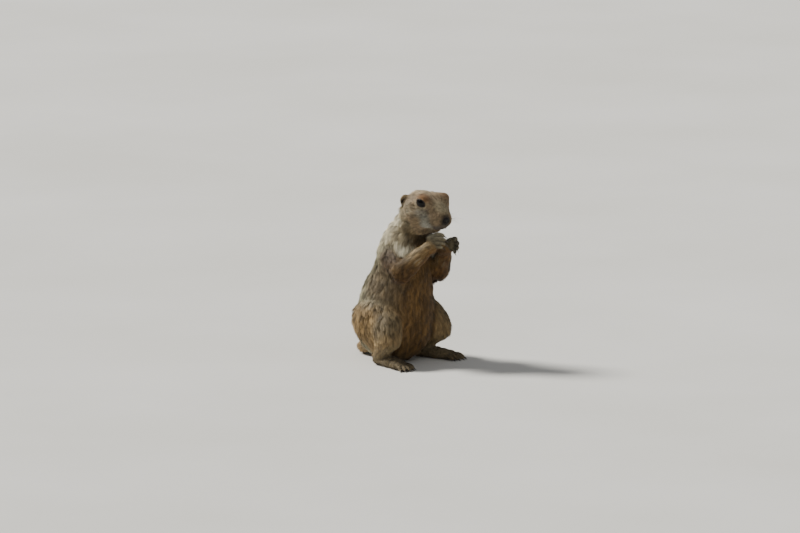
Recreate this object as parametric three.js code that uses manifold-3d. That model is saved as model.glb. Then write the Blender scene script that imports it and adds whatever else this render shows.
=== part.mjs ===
// A prairie dog sitting upright on its haunches with its forepaws held at its mouth, at life size.
// Millimetres. +Z is up, z = 0 is the floor, the animal faces -Y and its left side is +X.
// The origin lies on the floor, under the rump it sits on.
import * as THREE from "three";
import { mergeVertices } from "three/addons/utils/BufferGeometryUtils.js";
import Module from "manifold-3d";

const wasm = await Module();
wasm.setup();

// Driving dimensions
const GAP = 0.35; // left between neighbours that touch
const HEAD_AT = new THREE.Vector3(-1.2, -48.3, 186.6); // midway between the eyes, on the head's long axis
const HEAD_DROP = THREE.MathUtils.degToRad(14); // nose below the level
const HEAD_TURN = THREE.MathUtils.degToRad(-12); // face turned towards the animal's right
const EYE_RADIUS = 6.8;
const LID_THICKNESS = 1.0;
const CLAW_TIP = 0.32; // radius at the very point of a claw
const FLOOR_SINK = 0.8; // how far a sole reaches below the floor before it is cut level
const BLOCK = 600; // side of the blocks that cut whole regions away

// Coat and skin colours, with roughness
const FINISHES = {
  back: { color: 0x9c8460, roughness: 0.9 },
  belly: { color: 0xb09a72, roughness: 0.92 },
  limb: { color: 0x9a7c50, roughness: 0.9 },
  paw: { color: 0x8f7b5c, roughness: 0.85 },
  ear: { color: 0x8a6e50, roughness: 0.85 },
  eye: { color: 0x100c0a, roughness: 0.1 },
  nose: { color: 0x2a2320, roughness: 0.55 },
  tail_tip: { color: 0x231c17, roughness: 0.9 },
};

const xyz = (x, y, z) => new THREE.Vector3(x, y, z);

// The head's own directions: across it to the left, forward to the nose, and up out of the crown.
const headTurn = new THREE.Quaternion()
  .setFromAxisAngle(xyz(0, 0, 1), HEAD_TURN)
  .multiply(new THREE.Quaternion().setFromAxisAngle(xyz(1, 0, 0), HEAD_DROP));
const HEAD_LEFT = xyz(1, 0, 0).applyQuaternion(headTurn);
const HEAD_FORWARD = xyz(0, -1, 0).applyQuaternion(headTurn);
const HEAD_UP = xyz(0, 0, 1).applyQuaternion(headTurn);

// A point of the head given by its distances left, forward and up from HEAD_AT.
function onHead(left, forward, up) {
  return HEAD_AT.clone()
    .addScaledVector(HEAD_LEFT, left)
    .addScaledVector(HEAD_FORWARD, forward)
    .addScaledVector(HEAD_UP, up);
}

// Flesh fields: each is a function of a point that is negative inside the flesh.

// An ellipsoid of flesh. turn carries its own x, y and z directions into the body's.
function mound(at, radii, turn = new THREE.Quaternion()) {
  const back = turn.clone().invert();
  const local = new THREE.Vector3();
  return (p) => {
    local.copy(p).sub(at).applyQuaternion(back);
    const { x, y, z } = local;
    const near = Math.hypot(x / radii.x, y / radii.y, z / radii.z);
    const slope = Math.hypot(x / radii.x ** 2, y / radii.y ** 2, z / radii.z ** 2);
    return slope > 0 ? (near * (near - 1)) / slope : -Math.min(radii.x, radii.y, radii.z);
  };
}

// A rounded length of flesh from one point to another, tapering between two radii.
function length(from, to, fromRadius, toRadius) {
  const along = to.clone().sub(from);
  const offset = new THREE.Vector3();
  return (p) => {
    const share = THREE.MathUtils.clamp(offset.copy(p).sub(from).dot(along) / along.lengthSq(), 0, 1);
    return offset.addScaledVector(along, -share).length() - THREE.MathUtils.lerp(fromRadius, toRadius, share);
  };
}

// Fields melted together, with fillets about as wide as softness.
function melt(softness, ...fields) {
  return (p) =>
    fields.reduce((whole, field) => {
      const next = field(p);
      const overlap = Math.max(softness - Math.abs(whole - next), 0) / softness;
      return Math.min(whole, next) - (overlap * overlap * softness) / 4;
    }, Infinity);
}

// A field with another pressed out of it, the rim rounded by softness.
function press(softness, field, tool) {
  return (p) => {
    const whole = field(p);
    const hole = -tool(p);
    const overlap = Math.max(softness - Math.abs(whole - hole), 0) / softness;
    return Math.max(whole, hole) + (overlap * overlap * softness) / 4;
  };
}

// How far along direction from origin, inside the flesh, its surface is first met, at most reach.
const MARCH_STEPS = 60;
const BISECTIONS = 18;
function surfaceDistance(field, origin, direction, reach) {
  const probe = new THREE.Vector3();
  const inside = (distance) => field(probe.copy(origin).addScaledVector(direction, distance)) < 0;
  let [inner, outer] = [0, 0];
  while (inside(outer)) {
    if (outer >= reach) return reach;
    inner = outer;
    outer += reach / MARCH_STEPS;
  }
  for (let i = 0; i < BISECTIONS; i++) {
    const middle = (outer + inner) / 2;
    if (inside(middle)) inner = middle;
    else outer = middle;
  }
  return (outer + inner) / 2;
}

// The unit direction in which a field grows fastest.
const SLOPE_STEP = 0.2;
function outward(field, p) {
  const slope = (axis) => {
    const step = new THREE.Vector3()[`set${axis}`](SLOPE_STEP);
    return field(p.clone().add(step)) - field(p.clone().sub(step));
  };
  return xyz(slope("X"), slope("Y"), slope("Z")).normalize();
}

// A closed geometry of rings of points between two end points.
function closedRings(first, rings, last) {
  const spokes = rings[0].length;
  const points = [first, ...rings.flat(), last];
  const index = [];
  const corner = (ring, spoke) => 1 + ring * spokes + (spoke % spokes);
  for (let spoke = 0; spoke < spokes; spoke++) {
    index.push(0, corner(0, spoke + 1), corner(0, spoke));
    for (let ring = 0; ring + 1 < rings.length; ring++) {
      const [a, b] = [corner(ring, spoke), corner(ring, spoke + 1)];
      const [c, d] = [corner(ring + 1, spoke), corner(ring + 1, spoke + 1)];
      if ((ring + spoke) % 2) index.push(a, b, c, b, d, c);
      else index.push(a, b, d, a, d, c);
    }
    index.push(points.length - 1, corner(rings.length - 1, spoke), corner(rings.length - 1, spoke + 1));
  }
  const geometry = new THREE.BufferGeometry().setFromPoints(points);
  geometry.setIndex(index);
  return geometry;
}

// The skin of a field, met by rays that fan out of an axis, as a closed geometry.
// caps are the shares of the rings that the fan takes to turn round the first end and the last.
function skin(field, { axis, across, rings, spokes, reach, caps = [0.3, 0.3], grow = 0 }) {
  const [first, last] = caps;
  const hit = (share, lean, turn) => {
    const origin = axis.getPointAt(share);
    const along = axis.getTangentAt(share);
    const side = across.clone().addScaledVector(along, -across.dot(along)).normalize();
    const direction = side
      .clone()
      .multiplyScalar(Math.cos(turn))
      .addScaledVector(along.clone().cross(side), Math.sin(turn))
      .multiplyScalar(Math.cos(lean))
      .addScaledVector(along, Math.sin(lean));
    const p = origin.addScaledVector(direction, surfaceDistance(field, origin, direction, reach));
    return grow ? p.addScaledVector(outward(field, p), grow) : p;
  };
  const made = [];
  for (let ring = 1; ring < rings; ring++) {
    const v = ring / rings;
    const share = THREE.MathUtils.clamp((v - first) / (1 - first - last), 0, 1);
    const nearEnd = Math.max(1 - v / first, 0) - Math.max(1 - (1 - v) / last, 0);
    const points = [];
    for (let spoke = 0; spoke < spokes; spoke++) {
      points.push(hit(share, (-nearEnd * Math.PI) / 2, (spoke / spokes) * 2 * Math.PI));
    }
    made.push(points);
  }
  return closedRings(hit(0, -Math.PI / 2, 0), made, hit(1, Math.PI / 2, 0));
}

// A tube along a curve, with a radius at each share of its length, pointed or rounded at its ends.
function tube(curve, radiusAt, { rings, spokes, flatten = 1, across = xyz(1, 0, 0) }) {
  const made = [];
  for (let ring = 0; ring < rings; ring++) {
    const share = (ring + 0.5) / rings;
    const along = curve.getTangentAt(share);
    const side = across.clone().addScaledVector(along, -across.dot(along)).normalize();
    const rise = along.clone().cross(side);
    made.push(
      Array.from({ length: spokes }, (_, spoke) => {
        const turn = (spoke / spokes) * 2 * Math.PI;
        return curve
          .getPointAt(share)
          .addScaledVector(side, Math.cos(turn) * radiusAt(share))
          .addScaledVector(rise, Math.sin(turn) * radiusAt(share) * flatten);
      }),
    );
  }
  return closedRings(curve.getPointAt(0), made, curve.getPointAt(1));
}

// Solids: closed geometries joined and cut.

function solid(geometry) {
  const bare = geometry.clone();
  bare.deleteAttribute("normal");
  bare.deleteAttribute("uv");
  const merged = mergeVertices(bare, 1e-4);
  return new wasm.Manifold(
    new wasm.Mesh({
      numProp: 3,
      vertProperties: new Float32Array(merged.attributes.position.array),
      triVerts: new Uint32Array(merged.index.array),
    }),
  );
}

const join = (first, ...others) => others.reduce((whole, other) => whole.add(other), first);
const cut = (first, ...tools) => tools.reduce((whole, tool) => whole.subtract(tool), first);
const largest = (whole) => whole.decompose().reduce((best, body) => (body.volume() > best.volume() ? body : best));

// A block that fills everything on one side of a plane, the side that facing points to.
function beyond(point, facing) {
  const block = new THREE.BoxGeometry(BLOCK, BLOCK, BLOCK);
  block.translate(0, 0, BLOCK / 2);
  block.applyQuaternion(new THREE.Quaternion().setFromUnitVectors(xyz(0, 0, 1), facing.clone().normalize()));
  block.translate(point.x, point.y, point.z);
  return solid(block);
}

// A ball, stretched to three radii along the turned axes.
function ball(at, radii, turn = new THREE.Quaternion(), [across, down] = [18, 12]) {
  const geometry = new THREE.SphereGeometry(1, across, down);
  geometry.scale(radii.x, radii.y, radii.z);
  geometry.applyQuaternion(turn);
  geometry.translate(at.x, at.y, at.z);
  return solid(geometry);
}

const part = new THREE.Group();

// Adds one named sub-part to the animal.
function addPart(name, whole, finish) {
  const mesh = largest(whole).getMesh();
  const geometry = new THREE.BufferGeometry();
  geometry.setAttribute("position", new THREE.BufferAttribute(new Float32Array(mesh.vertProperties), 3));
  geometry.setIndex(new THREE.BufferAttribute(new Uint32Array(mesh.triVerts), 1));
  geometry.computeVertexNormals();
  const piece = new THREE.Mesh(geometry, new THREE.MeshStandardMaterial({ ...FINISHES[finish], metalness: 0 }));
  piece.name = name;
  part.add(piece);
}

const SIDES = { left: 1, right: -1 };
const underFloor = beyond(xyz(0, 0, 0), xyz(0, 0, -1));

// Trunk: rump, belly, chest and neck in one field, later parted at the collar and behind the head
const RUMP = { at: xyz(0, 4, 41), radii: xyz(43, 44, 43) };
const BELLY = { at: xyz(0, 0, 70), radii: xyz(43, 41, 41) };
const CHEST = { at: xyz(0, -9, 101), radii: xyz(33.5, 33, 37) };
const SHOULDER = { at: xyz(14.5, -12, 123), radii: xyz(15, 18, 18) };
const NECK = { low: xyz(0, -11.5, 134), high: xyz(0, -30, 163), lowRadius: 27.5, highRadius: 22.5 };
const TRUNK_SOFTNESS = 14;

const otherSide = (at) => at.clone().multiply(xyz(-1, 1, 1));
const trunkField = melt(
  TRUNK_SOFTNESS,
  mound(RUMP.at, RUMP.radii),
  mound(BELLY.at, BELLY.radii),
  mound(CHEST.at, CHEST.radii),
  mound(SHOULDER.at, SHOULDER.radii),
  mound(otherSide(SHOULDER.at), SHOULDER.radii),
  length(NECK.low, NECK.high, NECK.lowRadius, NECK.highRadius),
);

// Head masses, each placed left, forward and up of the point midway between the eyes
const SKULL = { forward: -8.5, up: -5, radii: xyz(22, 22.5, 14) };
const BRIDGE = { forward: 7, up: -3.4, radii: xyz(16, 20, 11.4) };
const MUZZLE = { forward: 18, up: -9.6, radii: xyz(12.6, 15.5, 10) };
const NOSE_TIP = { forward: 29.4, up: -7.2, radii: xyz(5.8, 5.4, 5) };
const LIP = { left: 6, forward: 22.5, up: -12.6, radii: xyz(7, 9, 6.6) };
const CHIN = { forward: 14, up: -19, radii: xyz(8.5, 14, 5.6) };
const CHEEK = { left: 12.5, forward: -1, up: -12, radii: xyz(12.5, 19, 13.4) };
const BROW = { left: 13.6, forward: 6.5, up: 5.8, radii: xyz(6, 9, 4.8) };
const HEAD_SOFTNESS = 9;
const NECK_SOFTNESS = 12;
// The eyes sit in wide, shallow hollows, so the brow and cheek stand out a little round them.
const HOLLOW = { left: 29.4, forward: 8.5, up: 2.2, radii: xyz(9, 11, 8.4) };
const HOLLOW_SOFTNESS = 7;
const EYE = { left: 14.4, forward: 6.4, up: 4 };

const headMound = ({ left = 0, forward, up, radii }, side = 1) =>
  mound(onHead(left * side, forward, up), radii, headTurn);
const bothSides = (lump) => [headMound(lump, 1), headMound(lump, -1)];

const fullHeadField = melt(
  HEAD_SOFTNESS,
  headMound(SKULL),
  headMound(BRIDGE),
  headMound(MUZZLE),
  headMound(NOSE_TIP),
  headMound(CHIN),
  ...bothSides(LIP),
  ...bothSides(CHEEK),
  ...bothSides(BROW),
);

const headField = [1, -1].reduce(
  (field, side) => press(HOLLOW_SOFTNESS, field, headMound(HOLLOW, side)),
  fullHeadField,
);
const bodyField = melt(NECK_SOFTNESS, trunkField, headField);

const trunkAxis = new THREE.CatmullRomCurve3([
  xyz(0, 4, 34),
  xyz(0, -4, 72),
  xyz(0, -11, 108),
  xyz(0, -20, 148),
  xyz(0, -28, 168),
]);
const trunkSkin = (grow) =>
  solid(
    skin(bodyField, {
      axis: trunkAxis,
      across: xyz(1, 0, 0),
      rings: 32,
      spokes: 30,
      reach: 62,
      caps: [0.18, 0.18],
      grow,
    }),
  );
const headAxis = new THREE.LineCurve3(onHead(0, -14, -4), onHead(0, 19, -9));
const headSkin = (grow) =>
  solid(
    skin(bodyField, {
      axis: headAxis,
      across: HEAD_LEFT,
      rings: 30,
      spokes: 34,
      reach: 44,
      caps: [0.12, 0.34],
      grow,
    }),
  );

// The head parts from the neck on a plane from the nape to the throat, and the neck from the chest at a collar.
const NAPE = onHead(0, -19, 0);
const NAPE_FACING = onHead(0, 1, 0.9).sub(HEAD_AT).normalize();
const COLLAR = xyz(0, -14, 139);
const COLLAR_FACING = xyz(0, -0.36, 1).normalize();
const lowered = (point, facing) => point.clone().addScaledVector(facing, -GAP);

const wholeTrunk = trunkSkin(0);
const grownTrunk = trunkSkin(GAP);
const headSide = beyond(NAPE, NAPE_FACING);
const neckSide = beyond(lowered(NAPE, NAPE_FACING), NAPE_FACING);
const aboveCollar = beyond(COLLAR, COLLAR_FACING);
const belowCollar = beyond(lowered(COLLAR, COLLAR_FACING), COLLAR_FACING.clone().negate());

addPart("torso", cut(wholeTrunk.intersect(belowCollar), underFloor), "belly");
addPart("neck", cut(wholeTrunk.intersect(aboveCollar), neckSide), "back");

// Eyes and lids: a lid is a shell over the eyeball with a leaf-shaped opening
const LID_OPENING = { front: 5.8, back: 5.5, rise: 4.5, fall: 4.2, tilt: THREE.MathUtils.degToRad(-20) };
const EYE_FACING = { forward: 0.44, up: 0.12 };
const PLUG_DEPTH = 14;
const eyeCentre = (side) => onHead(EYE.left * side, EYE.forward, EYE.up);
const evenBall = (side, radius) => ball(eyeCentre(side), xyz(radius, radius, radius), headTurn, [16, 10]);

// The leaf-shaped opening of the lids, as a plug that points out of the eye on one side of the head.
function lidPlug(side) {
  const { front, back, rise, fall, tilt } = LID_OPENING;
  const leaf = new THREE.Shape();
  leaf.moveTo(-back, 0);
  leaf.bezierCurveTo(-back * 0.75, rise * 1.25, front * 0.6, rise * 1.3, front, -0.6);
  leaf.bezierCurveTo(front * 0.55, -fall * 1.3, -back * 0.65, -fall * 1.25, -back, 0);
  const plug = new THREE.ExtrudeGeometry(leaf, { depth: PLUG_DEPTH, bevelEnabled: false, curveSegments: 7 });
  const out = HEAD_LEFT.clone()
    .multiplyScalar(side)
    .addScaledVector(HEAD_FORWARD, EYE_FACING.forward)
    .addScaledVector(HEAD_UP, EYE_FACING.up)
    .normalize();
  const ahead = HEAD_FORWARD.clone().addScaledVector(out, -HEAD_FORWARD.dot(out)).normalize();
  ahead.applyAxisAngle(out, tilt * side);
  // The leaf is drawn facing the animal's right, so on the left its depth is set the other way.
  const depth = out.clone().multiplyScalar(-side);
  if (side > 0) plug.translate(0, 0, -PLUG_DEPTH);
  const place = new THREE.Matrix4().makeBasis(ahead, depth.clone().cross(ahead), depth);
  return solid(plug.applyMatrix4(place.setPosition(eyeCentre(side))));
}

const lidShell = (side) =>
  cut(evenBall(side, EYE_RADIUS + GAP + LID_THICKNESS), evenBall(side, EYE_RADIUS + GAP));

// Ears: low round cups behind the cheeks, open forwards and outwards
const EAR = { left: 18.6, forward: -18.4, up: -1.8, radii: xyz(5.6, 4.2, 6.6) };
const EAR_CUP = { left: 21.6, forward: -15.6, up: -2, radii: xyz(4.2, 4.2, 4.7) };
const EAR_FACING = 0.5;

function ear(side) {
  const turn = headTurn.clone().multiply(new THREE.Quaternion().setFromAxisAngle(xyz(0, 0, 1), side * EAR_FACING));
  const shape = ({ left, forward, up, radii }) => ball(onHead(left * side, forward, up), radii, turn, [16, 10]);
  return cut(shape(EAR), shape(EAR_CUP));
}

// The nose pad is a region of the head's own skin, with two comma-shaped nostrils.
const NOSE = { forward: 34.4, up: -6, radii: xyz(5.2, 4.6, 4.3) };
const NOSTRIL = { left: 2.2, forward: 35, up: -6.2, radii: xyz(0.8, 2.4, 1.2) };
const noseRegion = (grow) =>
  ball(onHead(0, NOSE.forward, NOSE.up), NOSE.radii.clone().addScalar(grow), headTurn, [14, 10]);

function nostril(side) {
  const turn = headTurn.clone().multiply(new THREE.Quaternion().setFromAxisAngle(xyz(0, 0, 1), side * 0.7));
  return ball(onHead(NOSTRIL.left * side, NOSTRIL.forward, NOSTRIL.up), NOSTRIL.radii, turn, [8, 6]);
}

// The line of the mouth: down from the nose and back on each side between lip and chin
const MOUTH_MIDDLE = { forward: 12, up: -12 };
const MOUTH_LINE = [
  [0, 33, -13],
  [1.6, 32, -16.4],
  [5.4, 29, -18.4],
  [9, 24, -18.4],
  [12, 17, -17],
  [14, 11, -15],
];
const PHILTRUM = [
  [0, 36, -7.5],
  [0, 35, -10.5],
  [0, 33, -14],
];
const GROOVE = { radius: 0.75, rings: 8, spokes: 5 };

// A groove that follows points of the head, each moved out to the skin from the middle of the mouth.
function groove(points, side) {
  const middle = onHead(0, MOUTH_MIDDLE.forward, MOUTH_MIDDLE.up);
  const onSkin = points.map(([left, forward, up]) => {
    const way = onHead(left * side, forward, up).sub(middle).normalize();
    return middle.clone().addScaledVector(way, surfaceDistance(bodyField, middle, way, 40));
  });
  const line = new THREE.CatmullRomCurve3(onSkin);
  const width = (share) => GROOVE.radius * (1 - 0.6 * share ** 3);
  return solid(tube(line, width, { rings: GROOVE.rings, spokes: GROOVE.spokes, across: HEAD_UP }));
}

// Head, with its lids and mouth
const wholeHead = headSkin(0);
const grownHead = headSkin(GAP);
let head = wholeHead.intersect(headSide);
for (const side of Object.values(SIDES)) {
  head = cut(join(head, lidShell(side)), evenBall(side, EYE_RADIUS + GAP), lidPlug(side));
  head = cut(head, groove(MOUTH_LINE, side));
}
addPart("head", cut(head, groove(PHILTRUM, 1), noseRegion(GAP)), "back");
addPart("nose", cut(wholeHead.intersect(noseRegion(0)), nostril(1), nostril(-1), groove(PHILTRUM, 1)), "nose");
for (const [word, side] of Object.entries(SIDES)) {
  addPart(`eye_${word}`, evenBall(side, EYE_RADIUS), "eye");
  addPart(`ear_${word}`, cut(ear(side), grownHead, grownTrunk), "ear");
}

// Limbs: each is one field of melted masses, parted into its lengths by planes at the joints.

// The skin of one length of a limb, met by rays from the line between two points.
function limbSkin(field, from, to, { rings, spokes, reach, across = xyz(0, 0, 1), grow = 0 }) {
  return solid(skin(field, { axis: new THREE.LineCurve3(from, to), across, rings, spokes, reach, grow }));
}

// Arms: upper arm beside the chest and forearm raised to the mouth. The right one is held higher.
const ARMS = {
  left: { shoulder: xyz(22, -14, 122), elbow: xyz(34.8, -32.5, 102), wrist: xyz(15, -61, 134) },
  right: { shoulder: xyz(-22, -14, 122), elbow: xyz(-36, -36.5, 109), wrist: xyz(-13.5, -60, 139) },
};
const ARM = { shoulderRadius: 16.5, upperRadius: 11, elbowRadius: 12.6, wristRadius: 6.8 };

// An arm's two lengths; the forearm's round elbow takes in the end of the upper arm.
function arm({ shoulder, elbow, wrist }) {
  const sizes = { rings: 12, spokes: 14, reach: 30, across: xyz(1, 0, 0) };
  const fore = length(elbow, wrist, ARM.elbowRadius, ARM.wristRadius);
  const upper = length(shoulder, elbow, ARM.shoulderRadius, ARM.upperRadius);
  const grownFore = limbSkin(fore, elbow, wrist, { ...sizes, grow: GAP });
  return {
    upper: cut(limbSkin(upper, shoulder, elbow, sizes), grownFore),
    fore: limbSkin(fore, elbow, wrist, sizes),
    grownFore,
  };
}

// Hands: a palm, four fingers that curl towards the other hand, a thumb, and a long claw on each.
// Places are those of a left hand before it is moved to its own place.
const HAND_MOVES = { left: xyz(1.6, -4.5, -6.4), right: xyz(0, 0, 0) };
const PALM = { at: xyz(11.4, -64, 146), radii: xyz(5, 7, 7.6) };
const FINGERS = [
  { root: xyz(10.4, -67, 151.5), knuckle: xyz(9.4, -74, 154.5), tip: xyz(5.6, -76, 152) },
  { root: xyz(11.4, -68, 148), knuckle: xyz(10.6, -76, 150), tip: xyz(5.8, -78.4, 147.4) },
  { root: xyz(11.6, -67.6, 144), knuckle: xyz(10.8, -75.4, 144.6), tip: xyz(5.8, -77.6, 142.6) },
  { root: xyz(11, -66, 140.6), knuckle: xyz(10.2, -72, 139.6), tip: xyz(6, -74, 138.2) },
];
const THUMB = { root: xyz(9, -61, 150), knuckle: xyz(6.4, -63, 153), tip: xyz(4.6, -67, 152.6) };
const FINGER = { radius: 2.5, thumbRadius: 1.9 };
const CLAW = { way: xyz(-0.34, -0.86, -0.38), length: 7, radius: 1.3, rise: 0.8 };

// A finger or toe bent at its knuckle, with a curved claw out of its tip.
function digit({ root, knuckle, tip }, radius, claw, move) {
  const [from, bend, end] = [root, knuckle, tip].map(move);
  const flesh = tube(
    new THREE.QuadraticBezierCurve3(from, bend, end),
    (share) => radius * Math.sqrt(Math.max(1 - Math.max((share - 0.55) / 0.5, 0) ** 3, 0.05)),
    { rings: 5, spokes: 7 },
  );
  const way = claw.way.clone().normalize();
  const inside = move(tip.clone().addScaledVector(way, -radius * 0.6));
  const crest = move(tip.clone().addScaledVector(way, claw.length * 0.5).add(xyz(0, 0, claw.rise)));
  const point = move(tip.clone().addScaledVector(way, claw.length));
  const horn = tube(
    new THREE.QuadraticBezierCurve3(inside, crest, point),
    (share) => THREE.MathUtils.lerp(claw.radius, CLAW_TIP, share),
    { rings: 3, spokes: 5 },
  );
  return join(solid(flesh), solid(horn));
}

function hand(word) {
  const side = SIDES[word];
  const move = (at) => at.clone().add(HAND_MOVES[word]).multiply(xyz(side, 1, 1));
  return join(
    ball(move(PALM.at), PALM.radii, undefined, [12, 9]),
    ...FINGERS.map((finger) => digit(finger, FINGER.radius, CLAW, move)),
    digit(THUMB, FINGER.thumbRadius, { ...CLAW, length: 3 }, move),
  );
}

for (const word of Object.keys(SIDES)) {
  const { upper, fore, grownFore } = arm(ARMS[word]);
  addPart(`upper_arm_${word}`, cut(upper, grownTrunk), "limb");
  addPart(`forearm_${word}`, cut(fore, grownTrunk), "limb");
  addPart(`hand_${word}`, cut(hand(word), grownFore, grownHead), "paw");
}

// Legs: a broad thigh against the belly, the shank under it and a long flat foot. Places are for the left side.
const THIGH = { at: xyz(33, 1.5, 49.5), radii: xyz(20, 34, 32) };
const KNEE = { at: xyz(44, -24, 43), radii: xyz(12.5, 13, 17) };
const SHANK = { knee: xyz(45, -26.5, 32), heel: xyz(35, -4, 12), kneeRadius: 12, heelRadius: 9 };
const LEG_SOFTNESS = 12;
const LEG_PARTING = { at: xyz(42, -22, 25), facing: xyz(0.05, -0.4, -0.9).normalize() };
const HEEL = { at: xyz(35, -5, 8), radii: xyz(7.5, 10, 8.5) };
const INSTEP = { at: xyz(38.5, -24, 6.4), radii: xyz(8.6, 18, 7.6) };
const BALL_OF_FOOT = { at: xyz(43, -41, 5), radii: xyz(10, 9, 5.8) };
const FOOT_SOFTNESS = 6;
const TOES = { count: 5, spread: 0.42, splay: 0.24, length: 12, drop: 1.6, arch: 2.6, radius: 2.7, apart: 12 };
const TOE_CLAW = { length: 6, radius: 1.4, rise: 0.4, drop: 0.34 };
const onSide = (side) => (at) => at.clone().multiply(xyz(side, 1, 1));

function leg(side) {
  const move = onSide(side);
  const field = melt(
    LEG_SOFTNESS,
    mound(move(THIGH.at), THIGH.radii),
    mound(move(KNEE.at), KNEE.radii),
    length(move(SHANK.knee), move(SHANK.heel), SHANK.kneeRadius, SHANK.heelRadius),
  );
  const facing = move(LEG_PARTING.facing);
  const thigh = (grow) =>
    limbSkin(field, move(xyz(34, 9, 43)), move(xyz(39, -22, 43)), { rings: 17, spokes: 18, reach: 50, grow });
  const shank = (grow) =>
    limbSkin(field, move(SHANK.knee), move(SHANK.heel), { rings: 14, spokes: 14, reach: 30, grow });
  return {
    thigh: cut(thigh(0), beyond(lowered(move(LEG_PARTING.at), facing), facing), underFloor),
    shank: cut(shank(0).intersect(beyond(move(LEG_PARTING.at), facing)), underFloor),
    grown: join(thigh(GAP), shank(GAP)),
  };
}

function foot(side) {
  const move = onSide(side);
  const masses = [HEEL, INSTEP, BALL_OF_FOOT];
  const field = melt(FOOT_SOFTNESS, ...masses.map(({ at, radii }) => mound(move(at), radii)));
  const axis = new THREE.CatmullRomCurve3(masses.map(({ at }) => move(at)));
  const sole = skin(field, { axis, across: xyz(1, 0, 0), rings: 13, spokes: 12, reach: 26, caps: [0.25, 0.25] });
  const toes = Array.from({ length: TOES.count }, (_, i) => {
    const fan = i / (TOES.count - 1) - 0.5;
    const turn = TOES.splay + fan * 2 * TOES.spread;
    const ahead = xyz(Math.sin(turn), -Math.cos(turn), 0);
    const root = BALL_OF_FOOT.at.clone().add(xyz(fan * TOES.apart, -2, -0.6));
    const tip = root.clone().addScaledVector(ahead, TOES.length * (1.15 - 1.2 * fan * fan));
    tip.z -= TOES.drop;
    const knuckle = root.clone().lerp(tip, 0.6).add(xyz(0, 0, TOES.arch));
    const way = ahead.add(xyz(0, 0, -TOE_CLAW.drop));
    return digit({ root, knuckle, tip }, TOES.radius, { ...TOE_CLAW, way }, move);
  });
  return cut(join(solid(sole), ...toes), underFloor);
}

for (const [word, side] of Object.entries(SIDES)) {
  const { thigh, shank, grown } = leg(side);
  addPart(`thigh_${word}`, cut(thigh, grownTrunk), "limb");
  addPart(`shank_${word}`, cut(shank, grownTrunk), "limb");
  addPart(`foot_${word}`, cut(foot(side), grownTrunk, grown), "paw");
}

// Tail, laid on the floor round the animal's left side: root, middle and a flat, dark brush
const TAIL_PATH = new THREE.CatmullRomCurve3([
  xyz(2, 34, 16),
  xyz(7, 52, 9.5),
  xyz(26, 65, 6),
  xyz(50, 62, 5.6),
  xyz(73, 45, 5.4),
]);
const TAIL = { root: 9, middle: 6.6, brush: 7.4, widen: 1.25, middleFrom: 0.36, brushFrom: 0.62 };

// The tail's half height: thick at the root, slimmer along the middle and full again in the brush.
function tailRadius(share) {
  const slimming = THREE.MathUtils.smoothstep(share, 0, 0.45);
  const filling = THREE.MathUtils.smoothstep(share, 0.5, 0.8);
  const body = THREE.MathUtils.lerp(THREE.MathUtils.lerp(TAIL.root, TAIL.middle, slimming), TAIL.brush, filling);
  return body * Math.sqrt(Math.max(1 - Math.max((share - 0.78) / 0.23, 0) ** 2, 0.002));
}

const tail = solid(
  tube(TAIL_PATH, tailRadius, { rings: 24, spokes: 12, flatten: TAIL.widen, across: xyz(0, 0, 1) }),
);
const wholeTail = cut(tail, grownTrunk, leg(SIDES.left).grown, underFloor);
const parting = (share) => [TAIL_PATH.getPointAt(share), TAIL_PATH.getTangentAt(share)];
const beforeParting = (point, facing) => beyond(lowered(point, facing), facing.clone().negate());
const [middleAt, middleFacing] = parting(TAIL.middleFrom);
const [brushAt, brushFacing] = parting(TAIL.brushFrom);
const pastRoot = wholeTail.intersect(beyond(middleAt, middleFacing));
addPart("tail_root", wholeTail.intersect(beforeParting(middleAt, middleFacing)), "back");
addPart("tail_middle", pastRoot.intersect(beforeParting(brushAt, brushFacing)), "back");
addPart("tail_brush", pastRoot.intersect(beyond(brushAt, brushFacing)), "tail_tip");

export default part;
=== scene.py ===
"""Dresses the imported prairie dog: one skin, a coat of short tufts, eyes, lids, nose, claws and whiskers.

Lengths in the dataclasses are in millimetres, and everything that Blender holds is in metres.
The animal faces -Y, its left side is +X and it sits on the floor at z = 0.
"""

import sys

import logging
import math
from dataclasses import dataclass, field
from enum import Enum
from typing import Callable, Optional, Sequence

import bpy
import numpy as np
from mathutils import Matrix, Vector
from mathutils.bvhtree import BVHTree
from mathutils.kdtree import KDTree


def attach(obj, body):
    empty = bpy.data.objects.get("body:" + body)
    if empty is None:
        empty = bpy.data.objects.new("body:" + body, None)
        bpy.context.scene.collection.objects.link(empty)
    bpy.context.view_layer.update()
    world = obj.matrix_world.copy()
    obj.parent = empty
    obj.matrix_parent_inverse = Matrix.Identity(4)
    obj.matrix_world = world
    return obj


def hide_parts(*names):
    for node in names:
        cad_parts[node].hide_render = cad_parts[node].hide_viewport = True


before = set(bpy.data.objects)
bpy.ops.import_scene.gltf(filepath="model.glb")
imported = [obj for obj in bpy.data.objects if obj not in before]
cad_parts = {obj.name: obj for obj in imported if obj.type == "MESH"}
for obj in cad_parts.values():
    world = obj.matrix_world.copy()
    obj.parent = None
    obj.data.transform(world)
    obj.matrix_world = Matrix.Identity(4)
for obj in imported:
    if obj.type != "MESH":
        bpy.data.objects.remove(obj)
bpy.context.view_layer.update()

log = logging.getLogger("prairie_dog")

MM = 0.001
Array = np.ndarray
Thing = bpy.types.Object
Socket = bpy.types.NodeSocket
Point = tuple[float, float, float]
SIDES = {"left": 1, "right": -1}
PAW_NAMES = [(part, word) for part in ("hand", "foot") for word in SIDES]


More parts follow.
